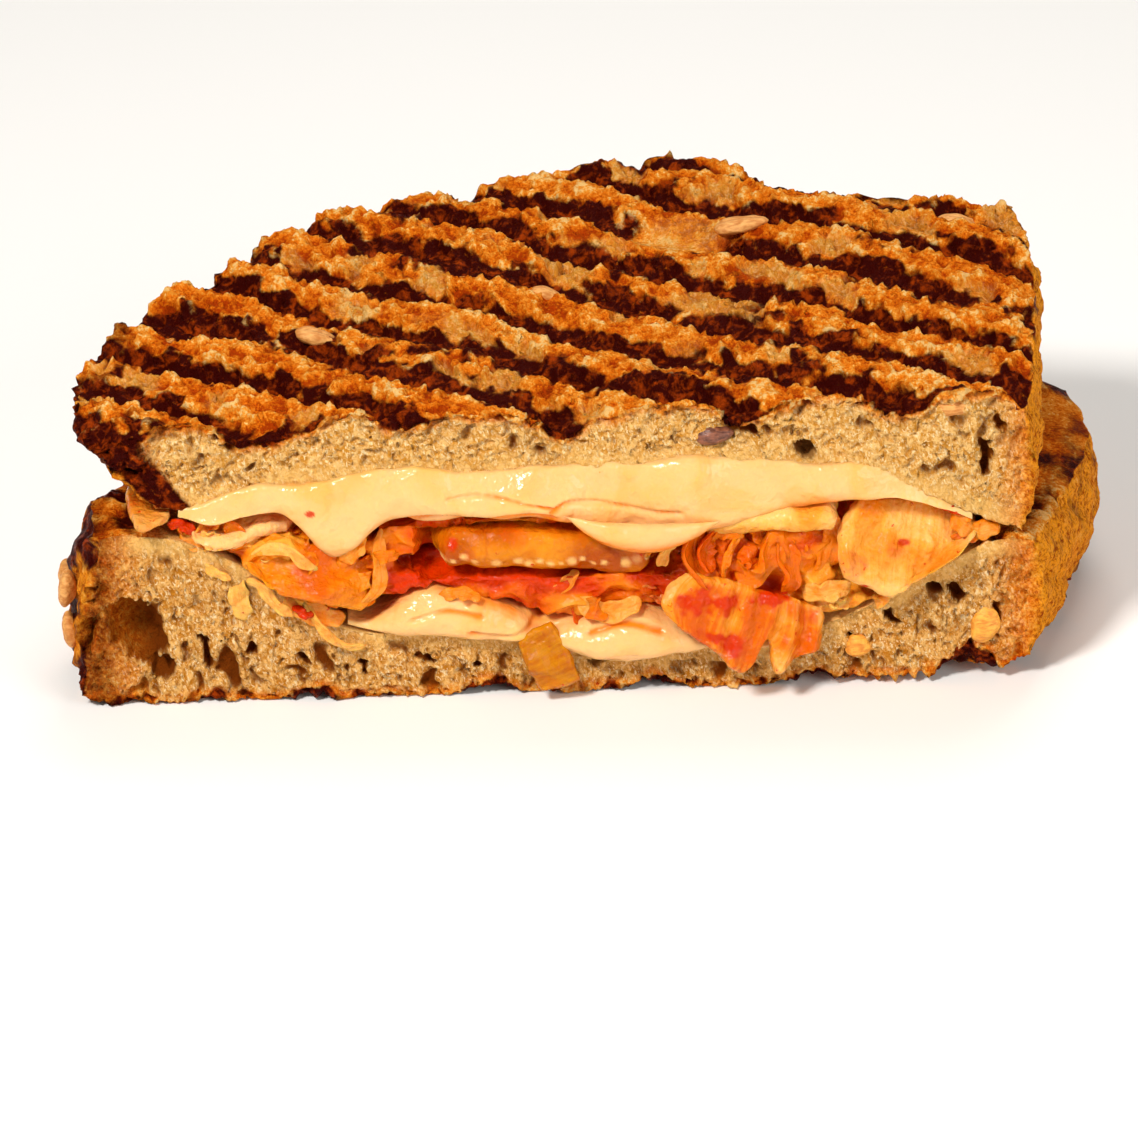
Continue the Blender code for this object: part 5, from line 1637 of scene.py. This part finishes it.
@dataclass
class Kimchi:
    """The heap between the cheeses: its core, its shreds and flakes of chilli.

    Attributes:
        clutter: how many stray shreds there are.
        seed: seed of their random draw.
        recess: how deep the recesses are in which the stems lie.
        bays: left, right, bottom and top of each recess.
        counts: grid lines along the cut, behind it and up it.
        most: how many triangles a piece may have.
    """

    clutter: int = 22
    seed: int = 17
    recess: float = 4.0
    bays: tuple = ((-15.0, 14.0, 16.0, 22.0), (15.0, 34.0, 20.6, 24.0), (-42.0, -29.0, 20.6, 26.0),
                   (33.5, 47.5, 12.0, 26.0))
    counts: tuple[int, int, int] = (420, 55, 72)
    most: int = 190000

    def core(self, s: Array, t: Array, h: Array) -> Array:
        """The CAD heap's own form, creased as if leaves were folded in it."""
        x, y = filling_plan(s, t)
        start, end = LOWER_SPAN
        over = ease(s, start - 0.05, start) * (1.0 - ease(s, end, end + 0.05))
        low = over * lower_cheese_top(x, y) + (1.0 - over) * floor(x, y) + LAYER_GAP
        top = cheese_underside(x, y) - LAYER_GAP
        z = low + h * (top - low)
        front = (1.0 - t) ** FRONT_FADE
        bulge = swollen(h) * front
        for left, right, under, above in self.bays:
            inside = ease(x, left - 1.0, left + 1.0) * (1.0 - ease(x, right - 1.0, right + 1.0))
            y = y + self.recess * front * inside * ease(z, under - 0.6, under + 0.6) * (
                1.0 - ease(z, above, above + 0.6))
        return np.stack([x, y - 0.6 * bulge, z], 1)

    def paste(self, x: Array, z: Array) -> Array:
        """Share of chilli paste at the cut: most under the middle stem and among the curled leaves."""
        middle = ease(x, -20.0, -15.0) * (1.0 - ease(x, 12.0, 16.0)) * (1.0 - 0.6 * ease(z, 17.0, 20.0))
        curled = 0.75 * ease(x, 12.0, 15.0) * (1.0 - ease(x, 28.0, 32.0))
        return 0.08 + 0.85 * np.maximum(middle, curled)

    def strays(self) -> list[Ribbon]:
        """Short shreds strewn over the front of the heap, out of a seeded draw."""
        rng = np.random.default_rng(self.seed)
        found = []
        while len(found) < self.clutter:
            x = rng.uniform(*STRAY_RANGE)
            at = np.array([x])
            low = float(floor(at, 0 * at)[0]) + 1.2
            if CHEESE_LEFT < x < CHEESE_RIGHT:
                low = float(lower_cheese_top(at, 0 * at)[0]) + 0.4
            high = float(cheese_underside(at, 0 * at)[0]) - 0.8
            if high - low < 1.5:
                continue
            z = rng.uniform(low, high)
            if any(left < x < right and under < z < above for left, right, under, above in KEPT_CLEAR):
                continue
            length, angle = rng.uniform(2.0, 4.6), rng.uniform(-1.3, 1.3)
            step = 0.5 * length * np.array((math.cos(angle), 0.0, math.sin(angle)))
            middle = np.array((x, rng.uniform(-1.9, -0.7), z))
            bow = rng.normal(0.0, 0.6, 3)
            path = tuple(tuple(p) for p in (middle - step, middle + bow - (0, 0.3, 0), middle + step))
            red = float(self.paste(at, np.array([z]))[0]) * rng.uniform(0.2, 1.0)
            found.append(Ribbon(path, rng.uniform(0.8, 1.6), rng.uniform(0.25, 0.4), rng.uniform(0, 1.6),
                                red, rng.uniform(0, 1), curl=rng.uniform(0.8, 1.9)))
        return found

    def fold(self, surface: Surface) -> None:
        """Raises the folds at the cut, sinks the dents, and stores the values that colour them, with
        painted shade deep in the dents.
        """
        p = surface.points
        x, _, z = p.T
        height, light = np.zeros(len(p)), 0.4 + 0.25 * noise(p, 3.5, 97)
        red, depth = self.paste(x, z), np.zeros(len(p))
        front = np.flatnonzero(surface.unit[:, 1] < FRONT_SHARE)
        bent = wandered(p[front], 0.5, 2.2, 98)
        for fold in FOLDS:
            near_by = fold.weight(bent[:, 0], bent[:, 2])
            height[front] = np.maximum(height[front], fold.height * near_by)
            light[front] += (fold.light - light[front]) * near_by
            red[front] += (fold.red - red[front]) * near_by
        # The dents are sunk, and their insides are painted dark as shade.
        for at_x, at_z, wide, high, deep in DENTS:
            ball = 1.0 - ((bent[:, 0] - at_x) / wide) ** 2 - ((bent[:, 2] - at_z) / high) ** 2
            sunk = np.sqrt(np.clip(ball, 0.0, 1.0))
            height[front] -= deep * sunk
            depth[front] = np.maximum(depth[front], 0.9 * sunk)
        folded = wandered(p, 2.0, 4.0, 93)
        creases = ridges(folded, 3.0, 94) * 0.5 + ridges(folded, 1.4, 95) * 0.25
        surface.pushed((height + creases - 0.9) * (0.3 + 0.7 * (surface.unit[:, 1] < FRONT_SHARE)))
        surface.value("along", x / 9.0).value("across", z / 9.0).value("tone", 0.3)
        surface.value("light", light + 0.5 * (creases - 0.5)).value("red", red).value("depth", depth)

    def build(self, heap: bpy.types.Material, shreds: bpy.types.Material) -> None:
        """Makes the heap and the shreds on it.

        Args:
            heap: finish of the heap.
            shreds: finish of the shreds.
        """
        ns, _, nh = self.counts
        near = np.concatenate([np.linspace(0, FRONT_SHARE, 22)[:-1], np.linspace(FRONT_SHARE, 1, 34)])
        lines = [np.linspace(0, 1, ns), near, np.linspace(0, 1, nh)]
        surface = box_surface(self.counts, self.core, lines)
        self.fold(surface)
        make_piece("kimchi_heap", surface, heap, ["kimchi"], self.most)
        strips = merged([one.surface() for one in RIBBONS + self.strays()])
        make_piece("kimchi_shreds", strips, shreds, ["kimchi"], self.most)


LAMPS = [
    # name, place and size in metres, power in watts, colour
    ("key", (-0.30, -0.38, 0.52), 0.12, 4.6, (1.0, 0.97, 0.93)),
    ("fill", (0.42, -0.42, 0.26), 0.36, 1.75, (1.0, 0.97, 0.93)),
    ("top", (0.10, 0.30, 0.55), 0.35, 1.5, (1.0, 0.98, 0.95)),
]


@dataclass
class Studio:
    """Pale floor, soft lights and the camera at the photograph's angle.

    Attributes:
        azimuth, elevation, distance: where the camera stands, in degrees and metres.
        lens, sensor, nearest: its lens and sensor in millimetres, and its near clip in metres.
        target, lit: what the camera and the lamps look at.
        table_half, table_drop: half the floor's width, and how far it lies below the part.
        surroundings: strength of the light from all round.
    """

    azimuth: float = -3.5
    elevation: float = 28.0
    distance: float = 0.558
    lens: float = 151.8
    target: tuple[float, float, float] = (-0.003729, -0.033252, 0.0163)
    lit: tuple[float, float, float] = (0.0, -0.02, 0.02)
    sensor: float = 36.0
    nearest: float = 0.01
    table_half: float = 1.6
    table_drop: float = 0.0002
    surroundings: float = 0.18

    def camera(self) -> None:
        """Puts the camera on its line of sight and looks back along it."""
        a, e = math.radians(self.azimuth), math.radians(self.elevation)
        back = Vector((math.sin(a) * math.cos(e), -math.cos(a) * math.cos(e), math.sin(e)))
        data = bpy.data.cameras.new("camera")
        data.lens, data.sensor_width, data.clip_start = self.lens, self.sensor, self.nearest
        camera = bpy.data.objects.new("camera", data)
        camera.location = Vector(self.target) + back * self.distance
        camera.rotation_mode = "QUATERNION"
        camera.rotation_quaternion = back.to_track_quat("Z", "Y")
        bpy.context.scene.collection.objects.link(camera)
        bpy.context.scene.camera = camera

    def light(self, name: str, place: tuple, size: float, power: float, colour: Colour) -> None:
        """One soft square light that faces the sandwich."""
        data = bpy.data.lights.new(name, "AREA")
        data.size, data.energy, data.color = size, power, colour
        lamp = bpy.data.objects.new(name, data)
        lamp.location = place
        aim = Vector(self.lit) - Vector(place)
        lamp.rotation_mode = "QUATERNION"
        lamp.rotation_quaternion = aim.to_track_quat("-Z", "Y")
        bpy.context.scene.collection.objects.link(lamp)

    def build(self) -> None:
        """Makes the floor, the lights, the pale surroundings and the camera."""
        half, low = self.table_half, -self.table_drop
        corners = [(-half, -half, low), (half, -half, low), (half, half, low), (-half, half, low)]
        mesh = bpy.data.meshes.new("floor")
        mesh.from_pydata(corners, [], [(0, 1, 2, 3)])
        mesh.materials.append(FloorFinish().material("floor"))
        table = bpy.data.objects.new("floor", mesh)
        bpy.context.scene.collection.objects.link(table)
        world = bpy.data.worlds.new("studio")
        world.use_nodes = True
        backdrop = world.node_tree.nodes["Background"]
        backdrop.inputs["Color"].default_value = (1.0, 0.98, 0.95, 1.0)
        backdrop.inputs["Strength"].default_value = self.surroundings
        bpy.context.scene.world = world
        for lamp in LAMPS:
            self.light(*lamp)
        bpy.context.scene.view_settings.view_transform = "Standard"
        self.camera()


LOWER_BREAD = BreadFinish(pale=(0.87, 0.49, 0.15), crumb=(0.52, 0.185, 0.014), fleck=(0.94, 0.72, 0.40))
HEAP = CabbageFinish((0.90, 0.43, 0.05), (0.82, 0.22, 0.004), (0.66, 0.07, 0.001))
SHREDS = CabbageFinish((0.88, 0.46, 0.10), (0.82, 0.21, 0.004), (0.66, 0.07, 0.001))


def main() -> None:
    """Builds every piece of the sandwich half in order, then the studio."""
    Bread(Slice.UPPER, "bread_top", 24.0, 100, 1.5).build(BreadFinish().material("upper_bread"))
    Bread(Slice.LOWER, "bread_bottom", -12.0, 300, 2.6).build(LOWER_BREAD.material("lower_bread"))
    Kernels().build()
    Cheeses().build(CheeseFinish().material("melted_cheese"))
    for cut in CUT_PIECES:
        dotted = cut.node == "stem_middle"
        finish = CabbageFinish(*STEM_COLOURS[cut.node], streaks=cut.streaks, dots=dotted)
        cut.build(finish.material(cut.node + "_wet"))
    Kimchi().build(HEAP.material("kimchi_heap"), SHREDS.material("kimchi_shreds"))
    Studio().build()


if __name__ == "__main__":
    main()
